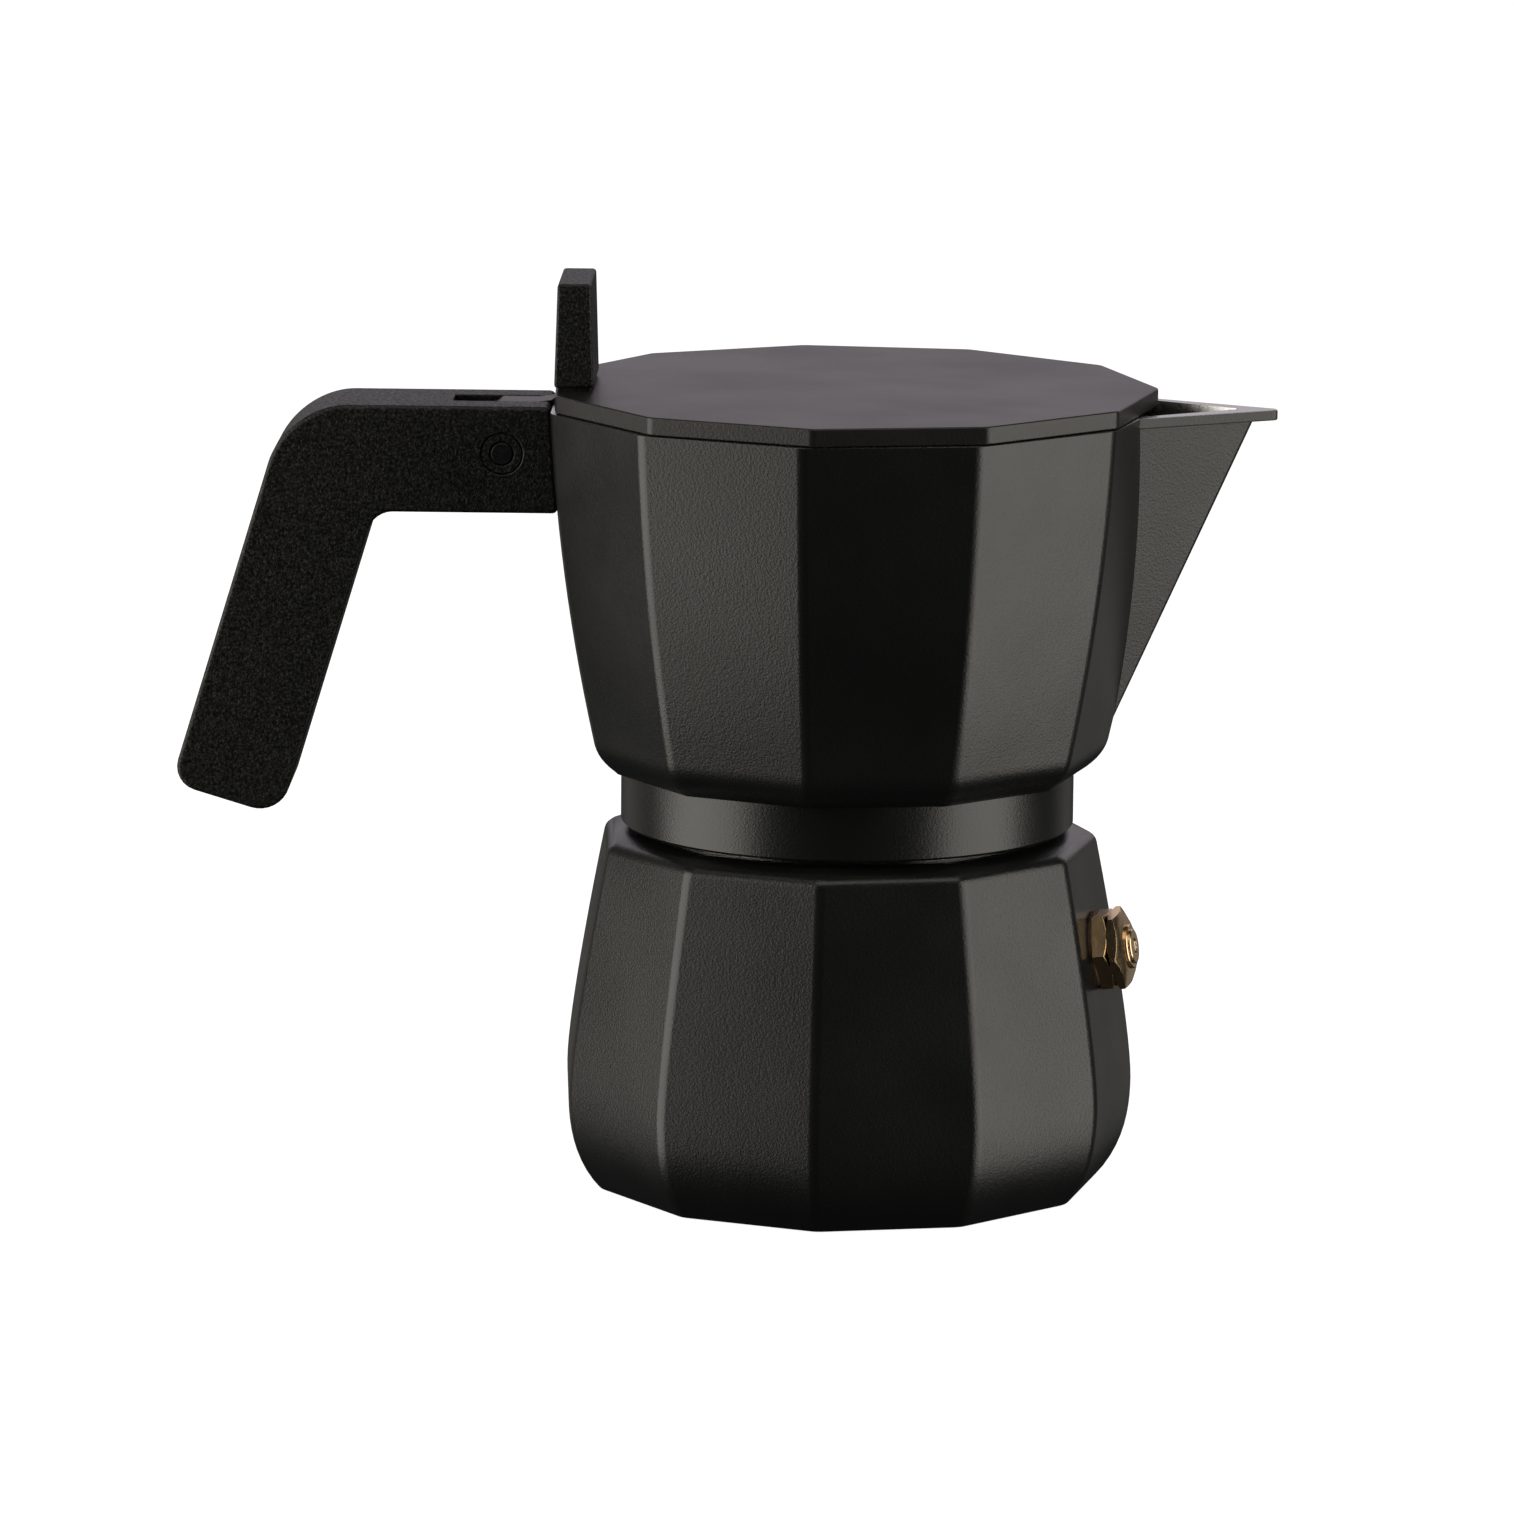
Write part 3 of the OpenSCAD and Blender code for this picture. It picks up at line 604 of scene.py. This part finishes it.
side_heights = [WAIST_Z + (MOUTH_Z - WAIST_Z) * i / 14 for i in range(1, 15)]
chamber_outline = [Vector((38.7, 68.5))]
chamber_outline += curve((38.7, 68.5), (41, 70), (42.5, 71.8), (WAIST_R, WAIST_Z), 8)
chamber_outline += [Vector((side_r(z), z)) for z in side_heights]
chamber_finishes = [body_paint, tumbled_aluminium]
chamber = soften(facet_stack(chamber_outline), 1.0, 4, upright)
soften(chamber, 0.25, 2, lambda e: min(v.co.z for v in e.verts) > MOUTH_Z - 0.1, 40)

print("flared stack of the chamber:", len(chamber.faces), "faces")

# %% Beak and lip
LIP_Z = MOUTH_Z - 1.7
BEAK_FOOT_Z, BEAK_SLOPE = WAIST_Z - 0.5, 0.637


def beak_edge(z):
    """Distance of the beak's edge from the axis: a straight line from the waist to the lip."""
    return WAIST_R - 0.1 + (66.1 - WAIST_R + 0.1) * (z - BEAK_FOOT_Z) / (LIP_Z - BEAK_FOOT_Z)


def wedge(inset, depth, low, high, blunt):
    """Wedge whose edge follows the beak at a distance inside it."""
    plan = [(-depth, -BEAK_SLOPE * depth), (-blunt, -BEAK_SLOPE * blunt),
            (-blunt, BEAK_SLOPE * blunt), (-depth, BEAK_SLOPE * depth)]
    corners = [(beak_edge(low) - inset + x, y, low) for x, y in plan]
    return plate(corners, (beak_edge(high) - beak_edge(low), 0, high - low))


beak = wedge(inset=0, depth=26, low=BEAK_FOOT_Z, high=MOUTH_Z - 0.4, blunt=0.9)
soften(beak, 0.5, 3, lambda e: min(v.co.x for v in e.verts) > 40)
chamber = combine(chamber, beak, "UNION", chamber_finishes)

LIP_X, LIP_TIP, LIP_ROOT_X = 69.1, 1.2, 46.4
lip_root_y = BEAK_SLOPE * (beak_edge(MOUTH_Z) - LIP_ROOT_X)
half_lip = [(30, lip_root_y), (LIP_ROOT_X, lip_root_y), (LIP_X - 0.5, LIP_TIP), (LIP_X, LIP_TIP - 0.5)]
lip_plan = [(x, -y) for x, y in half_lip] + [(x, y) for x, y in reversed(half_lip)]
lip = plate([(x, y, LIP_Z) for x, y in lip_plan], (0, 0, MOUTH_Z - LIP_Z))
soften(lip, 0.3, 2, lambda e: max(v.co.x for v in e.verts) > 46)
chamber = combine(chamber, lip, "UNION", chamber_finishes)
print("outside of the chamber:", len(chamber.faces), "faces")

# %% [markdown]
# The inside is cut by a second stack and a second wedge, both bare metal, so the cut faces come out
# bright. The rim of the mouth and the lip is ground flat after painting, so it is bare too. The collar
# is added next, then bored, and two lugs behind the mouth take the hinge pin.

# %% Inside and spout channel
INSIDE_Z = WAIST_Z + 10
FLOOR_Z = 77
inside_outline = [Vector((35, FLOOR_Z))]
inside_foot = (side_r(INSIDE_Z) - WALL_STEP, INSIDE_Z)
inside_outline += curve((35, FLOOR_Z), (39.5, FLOOR_Z), (41.3, 79), inside_foot, 7)
inside_outline += [Vector((side_r(z) - WALL_STEP, z)) for z in side_heights if z > INSIDE_Z + 1]
inside_outline += [Vector((MOUTH_R - WALL_STEP, MOUTH_Z + 1))]
inside = paint_with(soften(facet_stack(inside_outline), 1.2, 3, upright), BARE)
chamber = combine(chamber, inside, "DIFFERENCE", chamber_finishes)
channel = wedge(inset=3.6, depth=30, low=WAIST_Z + 8, high=MOUTH_Z + 1, blunt=0.6)
soften(channel, 0.8, 3, upright)
chamber = combine(chamber, paint_with(channel, BARE), "DIFFERENCE", chamber_finishes)
print("with its inside:", len(chamber.faces), "faces")

# %% Collar and bores
collar_section = [(0, COLLAR_Z), (36.6, COLLAR_Z), (37, COLLAR_Z + 0.4), (37, 75), (34.8, FLOOR_Z),
                  (31, FLOOR_Z), (7, 82.5), (0, 82.5)]
collar = turned(collar_section, 144)
for face in collar.faces:
    face.material_index = BARE if face.calc_center_median().z > 75.5 else PAINTED
chamber = combine(chamber, collar, "UNION", chamber_finishes)
bore_section = [(0, COLLAR_Z - 1), (34.3, COLLAR_Z - 1), (34.3, 70.1), (33, 70.1), (33, 73.6),
                (28.4, 73.6), (28.4, 74.3), (27, 74.3), (3, 78.8), (0, 78.8)]
chamber = combine(chamber, paint_with(turned(bore_section, 144), BARE), "DIFFERENCE", chamber_finishes)
column_bore = paint_with(turned([(0, 74), (3, 74), (3, 78.7), (4, 78.7), (4, 90), (0, 90)], 48), BARE)
chamber = combine(chamber, column_bore, "DIFFERENCE", chamber_finishes)
print("with its collar:", len(chamber.faces), "faces")

# %% Lugs and bare rim
along_y = Matrix.Translation((PIN_X, 0, PIN_Z)) @ Matrix.Rotation(math.pi / 2, 4, "X")
LUG_R, LUG_T, LUG_Y = 4, 2.8, 3.9
wall_x = -side_r(PIN_Z) * FLAT_SHARE + 1.2
round_end = [math.radians(a) for a in range(100, 270, 10)]
lug_plan = [(wall_x, PIN_Z + LUG_R), (PIN_X, PIN_Z + LUG_R)]
lug_plan += [(PIN_X + LUG_R * math.cos(a), PIN_Z + LUG_R * math.sin(a)) for a in round_end]
lug_plan += [(PIN_X, PIN_Z - LUG_R), (wall_x, PIN_Z - LUG_R)]
for side in (-1, 1):
    lug = plate([(x, side * LUG_Y, z) for x, z in lug_plan], (0, side * LUG_T, 0))
    chamber = combine(chamber, lug, "UNION", chamber_finishes)
PIN_R = 1.9
pin_hole = turned([(0, -15), (PIN_R, -15), (PIN_R, 15), (0, 15)], 40, along_y)
chamber = combine(chamber, pin_hole, "DIFFERENCE", chamber_finishes)
for face in chamber.faces:
    if face.normal.z > 0.9 and face.calc_center_median().z > MOUTH_Z - 0.1:
        face.material_index = BARE
finished(chamber, "upper_casting", "upper", chamber_finishes, ["upper_chamber"])

# %% [markdown]
# ## Lid
# The lid is a flat eleven-sided plate, turned by nearly two degrees on the mouth. Its rim is crisp, so
# the bevel is only 0.35 mm. A tongue runs from its rear edge down to the knuckle on the hinge pin. The
# knuckle is part of the tongue's outline, which spares the Boolean a curved seam.

# %% Lid plate
LID_R, LID_TURN, RECESS_R = 49.9, math.radians(1.8), 38
TONGUE_W, KNOB_X, SCREW_R = 6.4, -44.6, 1.5
lid_finishes = [lid_paint]
lid = soften(facet_stack([(LID_R, LID_Z), (LID_R, LID_TOP)], LID_TURN), 0.7, 3, upright)
soften(lid, 0.35, 3, lambda e: not upright(e), 40)
recess = turned([(0, LID_Z - 1), (RECESS_R, LID_Z - 1), (RECESS_R, LID_Z + 1), (0, LID_Z + 1)])
lid = combine(lid, recess, "DIFFERENCE", lid_finishes)
print("lid plate with its recess:", len(lid.faces), "faces")

# %% Tongue, knuckle and screw seat
rear, wall_x = -LID_R * FLAT_SHARE + 1, -MOUTH_R * FLAT_SHARE - 0.4
ARM_Z = box_mm("handle")[1].z
KNUCKLE_R = 3.9
tongue_side = [(rear, LID_Z + 0.02), (wall_x, LID_Z + 0.02), (wall_x, PIN_Z + 0.8)]
knuckle = [math.radians(a) for a in range(-24, -204, -9)]
tongue_side += [(PIN_X + KNUCKLE_R * math.cos(a), PIN_Z + KNUCKLE_R * math.sin(a)) for a in knuckle]
tongue_side += [(PIN_X - 3.6, PIN_Z + 1.6), (PIN_X - 1.6, ARM_Z - 0.9), (PIN_X - 0.4, ARM_Z - 0.1),
                (-50.8, ARM_Z - 0.1), (-48.6, ARM_Z + 0.2), (rear, ARM_Z + 1.2)]
tongue = plate([(x, -TONGUE_W / 2, z) for x, z in tongue_side], (0, TONGUE_W, 0))
RUNNING_R = PIN_R + 0.05
pin_bore = turned([(0, -9), (RUNNING_R, -9), (RUNNING_R, 9), (0, 9)], 48, along_y)
tongue = combine(tongue, pin_bore, "DIFFERENCE", lid_finishes)
lid = combine(lid, tongue, "UNION", lid_finishes)
HEAD_R = 2.9
screw_section = [(0, LID_Z - 1), (HEAD_R, LID_Z - 1), (HEAD_R, LID_Z),
                 (SCREW_R, LID_Z + 1.4), (SCREW_R, 140), (0, 140)]
at_knob = Matrix.Translation((KNOB_X, 0, 0))
screw_bore = turned(screw_section, 40, at_knob)
lid = combine(lid, screw_bore, "DIFFERENCE", lid_finishes)
finished(lid, "lid_plate", "lid_body", lid_finishes, ["lid"], bevel=0.2)

# %% [markdown]
# ## Knob
# The knob is a moulded tab that tapers a little towards its top, with a thin shadow gap at its foot.

# %% Knob
knob_low, knob_high = box_mm("lid_knob")
knob_side = [(KNOB_X - 3.2, knob_low.z + 0.5), (KNOB_X + 3.2, knob_low.z + 0.5),
             (KNOB_X + 2.7, knob_high.z), (KNOB_X - 2.7, knob_high.z)]
knob = plate([(x, knob_low.y, z) for x, z in knob_side], (0, knob_high.y - knob_low.y, 0))
soften(knob, 0.55, 3)
plinth_low = (KNOB_X - 2.6, knob_low.y + 0.6, knob_low.z)
plinth_high = (KNOB_X + 2.6, knob_high.y - 0.6, knob_low.z + 2)
plinth = block(plinth_low, plinth_high)
knob = combine(knob, plinth, "UNION", [handle_nylon])
hole_low, hole_high = knob_low.z - 1, knob_low.z + 8
screw_hole = turned([(0, hole_low), (SCREW_R, hole_low), (SCREW_R, hole_high), (0, hole_high)], 32, at_knob)
knob = combine(knob, screw_hole, "DIFFERENCE", [handle_nylon])
finished(knob, "knob_moulding", "lid_body", [handle_nylon], ["lid_knob"])

# %% [markdown]
# ## Handle
# The handle is one moulding, a flat arm that bends down into a leaning grip. Its side outline is a
# polygon whose corners are rounded by bevelling its vertices, each by its own amount. The outline is
# then pushed to the handle's width and its rim rounded. A slot for the lid's tongue, a pocket for the
# chamber's two lugs, and the holes of the hinge pin and its bushes are cut out.

# %% Outline of the handle
handle_low, handle_high = box_mm("handle")
ARM_T, LEAN, GRIP_T, GRIP_L, BEND_X = 17.4, math.radians(16.8), 18.6, 65.2, -91.1
along = Vector((-math.sin(LEAN), -math.cos(LEAN)))
across = Vector((math.cos(LEAN), -math.sin(LEAN)))
grip_out = Vector((BEND_X, ARM_Z)) + along * GRIP_L
grip_in = grip_out + across * GRIP_T
inner_x = grip_in.x + (ARM_Z - ARM_T - grip_in.y) * math.tan(LEAN)
# x, z and rounding of each corner
handle_corners = [
    (-side_r(ARM_Z) * FLAT_SHARE - 0.1, ARM_Z, 1), (BEND_X, ARM_Z, 13.5), (grip_out.x, grip_out.y, 4),
    (grip_in.x, grip_in.y, 5), (inner_x, ARM_Z - ARM_T, 4),
    (-side_r(ARM_Z - ARM_T) * FLAT_SHARE - 0.1, ARM_Z - ARM_T, 0.8),
]
handle = bmesh.new()
corner_verts = [handle.verts.new((x, handle_low.y, z)) for x, z, radius in handle_corners]
handle.faces.new(corner_verts)
for i, (vert, (x, z, radius)) in enumerate(zip(corner_verts, handle_corners)):
    before, after = (Vector(handle_corners[j % len(handle_corners)][:2]) for j in (i - 1, i + 1))
    half = (before - Vector((x, z))).angle(after - Vector((x, z))) / 2
    bmesh.ops.bevel(
        handle, geom=[vert], offset=radius / math.tan(half), offset_type="OFFSET",
        segments=max(3, round(radius * 1.5)), profile=0.5, affect="VERTICES", material=-1,
        clamp_overlap=False,
    )
pushed = bmesh.ops.extrude_face_region(handle, geom=handle.faces[:])["geom"]
moved = [g for g in pushed if isinstance(g, bmesh.types.BMVert)]
bmesh.ops.translate(handle, vec=(0, handle_high.y - handle_low.y, 0), verts=moved)
bmesh.ops.recalc_face_normals(handle, faces=handle.faces)
soften(handle, 2.0, 5, lambda e: abs(e.verts[0].co.y - e.verts[1].co.y) < 0.1, 60)

print("handle before its cuts:", len(handle.faces), "faces")

# %% Slot, pocket and pin holes
SLOT_W = 7
slot = block((PIN_X - 8.3, -SLOT_W / 2, PIN_Z - 5.2), (-40, SLOT_W / 2, PIN_Z + 25))
pocket = block((PIN_X - 4.4, -6.9, PIN_Z - 4.2), (-40, 6.9, PIN_Z + 4.2))
for tool in (slot, pocket):
    handle = combine(handle, tool, "DIFFERENCE", [handle_nylon])
pin_tool = turned([(0, -15), (PIN_R, -15), (PIN_R, 15), (0, 15)], 48, along_y)
handle = combine(handle, pin_tool, "DIFFERENCE", [handle_nylon])
BUSH_R, BUSH_INNER, BUSH_OUTER = 3.4, 8.7, 10.2
for side in (-1, 1):
    inner, past = BUSH_INNER * side, 12 * side
    seat = turned([(0, inner), (BUSH_R, inner), (BUSH_R, past), (0, past)], 64, along_y)
    handle = combine(handle, seat, "DIFFERENCE", [handle_nylon])
finished(handle, "handle_moulding", "upper", [handle_nylon], ["handle"], bevel=0.25)

# %% [markdown]
# ## Hinge pin and bushes
# The pin's ends are just visible as small round buttons in the sides of the handle, each in a bush.

# %% Hinge pin and bushes
PIN_END = box_mm("hinge_pin")[1].y
half_pin = [(PIN_R, PIN_END - 0.3), (PIN_R - 0.3, PIN_END), (0, PIN_END)]
pin_section = [(r, -z) for r, z in reversed(half_pin)] + half_pin
pin = turned(pin_section, 48, along_y)
finished(pin, "hinge_pin_turned", "upper", [dark_steel], ["hinge_pin"])
for side in (-1, 1):
    outer, inner = BUSH_OUTER * side, BUSH_INNER * side
    edge = outer - 0.25 * side
    bush_section = [(PIN_R, inner), (BUSH_R, inner), (BUSH_R, edge), (BUSH_R - 0.25, outer),
                    (PIN_R + 0.25, outer), (PIN_R, edge)]
    bush = turned(bush_section, 48, along_y)
    name = "bush_front" if side > 0 else "bush_back"
    finished(bush, name, "upper", [handle_nylon], ["handle_bushes"])

# %% [markdown]
# ## Safety valve
# Two brass hexagons sit one on the other: the body is screwed into the boiler and the cap is pressed
# on it, turned by a few degrees. A lathe cuts their chamfers, so a hexagon is met here with a turned
# blank, and what both share is kept. The turn of a hexagon is counted from straight down, so the
# valve's own axes are first asked which way that is.

# %% Hexagons
CORNER_R = 6 / math.cos(math.radians(30))
SPIGOT_R = 3.9


def hexagon(low, high, turn, low_chamfer, high_chamfer):
    """Hexagon whose ends are chamfered by a turned blank; a chamfer is inwards, along."""
    bm = bmesh.new()
    start = Matrix.Translation((0, 0, low)) @ Matrix.Rotation(math.radians(turn) - math.pi / 2, 4, "Z")
    bmesh.ops.create_circle(bm, cap_ends=True, segments=6, radius=CORNER_R, matrix=start)
    pushed = bmesh.ops.extrude_face_region(bm, geom=bm.faces[:])["geom"]
    moved = [g for g in pushed if isinstance(g, bmesh.types.BMVert)]
    bmesh.ops.translate(bm, vec=(0, 0, high - low), verts=moved)
    bmesh.ops.recalc_face_normals(bm, faces=bm.faces)
    past_low, past_high, past_r = low - 0.01, high + 0.01, CORNER_R + 0.01
    blank = turned([
        (0, past_low), (CORNER_R - low_chamfer[0], past_low), (past_r, low + low_chamfer[1]),
        (past_r, high - high_chamfer[1]), (CORNER_R - high_chamfer[0], past_high), (0, past_high),
    ], 72)
    return combine(bm, blank, "INTERSECT", [polished_brass])


def into_valve(bm):
    """Moves a piece from the valve's own axes to its place on the facet."""
    bmesh.ops.transform(bm, matrix=valve_frame, verts=bm.verts)
    return bm


level = valve_frame.to_3x3().inverted() @ Vector((0, 0, -1))
HEX_ZERO = math.degrees(math.atan2(level.y, level.x))
print("straight down is at", round(HEX_ZERO, 1), "degrees")

# %% Valve body
body_hex = hexagon(0.5, 2.9, 30 + HEX_ZERO, (0.1, 0.1), (0.9, 0.5))
shank_section = [(0, -7), (SHANK_R - 0.4, -7), (SHANK_R, -6.6), (SHANK_R, 1),
                 (SPIGOT_R, 1), (SPIGOT_R, 4.1), (SPIGOT_R - 0.3, 4.4), (0, 4.4)]
shank = turned(shank_section, 64)
body_hex = combine(body_hex, shank, "UNION", [polished_brass])
bore = turned([(0, -8), (1.5, -8), (1.5, -5.6), (2.6, -5.6), (2.6, 12), (0, 12)], 48)
body_hex = combine(body_hex, bore, "DIFFERENCE", [polished_brass])
finished(into_valve(body_hex), "valve_body_hexagon", "boiler_body", [polished_brass], ["valve_body"],
         bevel=0.1, sharp=30)

# %% Valve cap
cap_hex = hexagon(2.9, 5.3, 38 + HEX_ZERO, (0.9, 0.5), (2.3, 1.2))
boss_section = [(0, 4.8), (3.6, 4.8), (3.6, 5.65), (3.45, 5.8),
                (2.8, 5.8), (2.8, 6.05), (2.65, 6.2), (0, 6.2)]
cap_hex = combine(cap_hex, turned(boss_section, 64), "UNION", [polished_brass])
PIN_HOLE_R = 1.2
bore_section = [(0, 1.9), (SPIGOT_R, 1.9), (SPIGOT_R, 4.4), (PIN_HOLE_R, 4.4),
                (PIN_HOLE_R, 6), (1.4, 6.3), (1.4, 8), (0, 8)]
cap_bore = turned(bore_section, 48)
cap_hex = combine(cap_hex, cap_bore, "DIFFERENCE", [polished_brass])
finished(into_valve(cap_hex), "valve_cap_hexagon", "boiler_body", [polished_brass], ["valve_cap"],
         bevel=0.1, sharp=30)

# %% [markdown]
# The spring inside the valve is a coil of round wire. As with the thread, a small circle is spun with a
# step along the axis. Its foot stands on the piston and its head under the cap, so it rides on neither
# body: it is left without one, with its place baked into its points.

# %% Valve spring
TURNS, STEPS_ROUND, WIRE_R, COIL_R = 6, 40, 0.3, 1.85
SPRING_STEPS = TURNS * STEPS_ROUND
SPRING_LOW, SPRING_HIGH = -3.9, 4.1
spring = bmesh.new()
wire_place = Matrix.Translation((COIL_R, 0, SPRING_LOW)) @ Matrix.Rotation(math.pi / 2, 4, "X")
bmesh.ops.create_circle(spring, cap_ends=False, segments=12, radius=WIRE_R, matrix=wire_place)
bmesh.ops.spin(
    spring, geom=spring.verts[:] + spring.edges[:], cent=(0, 0, 0), axis=(0, 0, 1),
    dvec=(0, 0, (SPRING_HIGH - SPRING_LOW) / SPRING_STEPS), angle=TURNS * math.tau,
    steps=SPRING_STEPS, use_merge=False, use_duplicate=False,
)
bmesh.ops.remove_doubles(spring, verts=spring.verts, dist=1e-5)
bmesh.ops.holes_fill(spring, edges=[e for e in spring.edges if len(e.link_faces) == 1], sides=12)
bmesh.ops.recalc_face_normals(spring, faces=spring.faces)
into_valve(spring)
spring_piece = finished(spring, "valve_spring_coil", "", [spring_steel], ["valve_spring"])
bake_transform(spring_piece)

# %% [markdown]
# ## Parts that keep their engineering shape
# The round sheet-metal parts inside the pot, the seals, the piston and the screw are right as they
# are, and only need their finish.

# %% Finishes for the engineering parts
kept = {
    "valve_washer": red_fibre, "valve_piston": spring_steel, "valve_seal": red_rubber,
    "funnel_basket": tumbled_aluminium, "funnel_tube": tumbled_aluminium,
    "funnel_plate": tumbled_aluminium, "gasket": white_silicone, "filter_plate": tumbled_aluminium,
    "riser_column": turned_aluminium, "column_cap": tumbled_aluminium, "knob_screw": spring_steel,
}
for node_name, finish in kept.items():
    part = frame["nodes"][node_name]
    if not part.material_slots:
        part.data.materials.append(finish)
    for slot_of_part in part.material_slots:
        slot_of_part.material = finish
print(len(kept), "engineering parts have their finish")

# %% [markdown]
# ## Studio
# A dark glossy pot is lit by what it reflects. Two tall soft boxes stand left and right and give the
# side facets their grey sheen. Nothing stands in front, so the middle facet stays nearly black. A wide
# panel behind gives the flat lid its tone, weak boxes behind on both sides draw the outer edges, and a
# panel above reaches into the open pot. A faint one low behind fills the undersides. The floor and the
# wall are plain and pale; only the camera sees them, so they don't light the pot from below.

# %% Floor
floor_mesh = bpy.data.meshes.new("floor")
floor_bm = bmesh.new()
HALF_FLOOR = 8
bmesh.ops.create_grid(floor_bm, x_segments=1, y_segments=1, size=HALF_FLOOR)
floor_bm.to_mesh(floor_mesh)
floor_bm.free()
floor = bpy.data.objects.new("floor", floor_mesh)
bpy.context.scene.collection.objects.link(floor)
# a hair below the pot, so that the two flat faces don't lie in each other
floor.location = (0, 0, -0.2 * MM)
floor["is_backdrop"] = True
floor_finish, floor_tree, _ = new_finish("Pale_floor")
lit_floor = add(floor_tree, "ShaderNodeBsdfDiffuse", {"Color": linear("#989898")})
glowing_floor = add(floor_tree, "ShaderNodeEmission", {"Color": linear("#ffffff"), "Strength": 0.96})
both = add(floor_tree, "ShaderNodeAddShader", {
    0: lit_floor.outputs["BSDF"], 1: glowing_floor.outputs["Emission"],
})
add(floor_tree, "ShaderNodeOutputMaterial", {"Surface": both.outputs["Shader"]})
floor_mesh.materials.append(floor_finish)
floor.visible_diffuse = False
floor.visible_glossy = False
floor.visible_shadow = False
print("floor", 2 * HALF_FLOOR, "m across")

# %% World
bpy.context.scene.view_settings.view_transform = "Standard"
world = bpy.data.worlds.new("studio")
bpy.context.scene.world = world
world.use_nodes = True
world_tree = world.node_tree
world_tree.nodes.clear()
seen = add(world_tree, "ShaderNodeLightPath")
dim = add(world_tree, "ShaderNodeBackground", {"Color": linear("#dfe9ee"), "Strength": 0.022})
pale = add(world_tree, "ShaderNodeBackground", {"Color": linear("#ffffff"), "Strength": 1.08})
choice = add(world_tree, "ShaderNodeMixShader", {
    0: seen.outputs["Is Camera Ray"], 1: dim.outputs["Background"], 2: pale.outputs["Background"],
})
add(world_tree, "ShaderNodeOutputWorld", {"Surface": choice.outputs["Shader"]})
print("world: dim for the pot, pale for the camera")

# %% Soft boxes
AIM = Vector((0, 0, 0.07))


def soft_box(name, turn, rise, distance, width, height, watts, colour="#fffaf0"):
    """Area light at a turn from the camera's side (left is negative) and a rise, facing the pot."""
    light = bpy.data.lights.new(name, "AREA")
    light.shape = "RECTANGLE"
    light.size, light.size_y, light.energy = width, height, watts
    light.color = linear(colour)[:3]
    turn, rise = math.radians(turn), math.radians(rise)
    direction = Vector((math.sin(turn) * math.cos(rise), -math.cos(turn) * math.cos(rise), math.sin(rise)))
    lamp = bpy.data.objects.new(name, light)
    bpy.context.scene.collection.objects.link(lamp)
    lamp.matrix_world = (
        Matrix.Translation(direction * distance + AIM)
        @ direction.to_track_quat("Z", "Y").to_matrix().to_4x4()
    )
    lamp.visible_camera = False


# turn and rise in degrees, distance, width and height in metres, watts
soft_box("box_left", -76, 4.5, 1.2, 1.15, 1.6, 18)
soft_box("box_right", 71.5, 3, 1.2, 1.0, 1.65, 14.5)
soft_box("edge_right", 146, 5, 1.6, 0.7, 1.6, 0.7)
soft_box("edge_left", -140, 5, 1.6, 0.9, 1.6, 1.0)
soft_box("panel_behind", 180, 22, 4.2, 4.7, 2.4, 25, "#fbf2fb")
soft_box("panel_above", 0, 76, 1.4, 1.2, 1.2, 7)
soft_box("low_behind", -175, -9, 2.0, 0.5, 0.45, 0.2)
lamps = [o.name for o in bpy.context.scene.objects if o.type == "LIGHT"]
print("soft boxes:", ", ".join(lamps))

# %% [markdown]
# ## Size
# The box of the engineering model and the box of the finished pieces are compared, and the largest difference
# is printed. The finished pieces must stay inside the engineering model's box.

# %% Compare the sizes and finish
bpy.context.view_layer.update()
size = {"cad": [list(map(float, corner)) for corner in cad_box],
        "visual": [list(map(float, corner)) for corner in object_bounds()]}
grown = max(abs(a - b) for k in (0, 1) for a, b in zip(size["cad"][k], size["visual"][k])) / MM
print("the two boxes differ by", round(grown, 2), "mm at most")
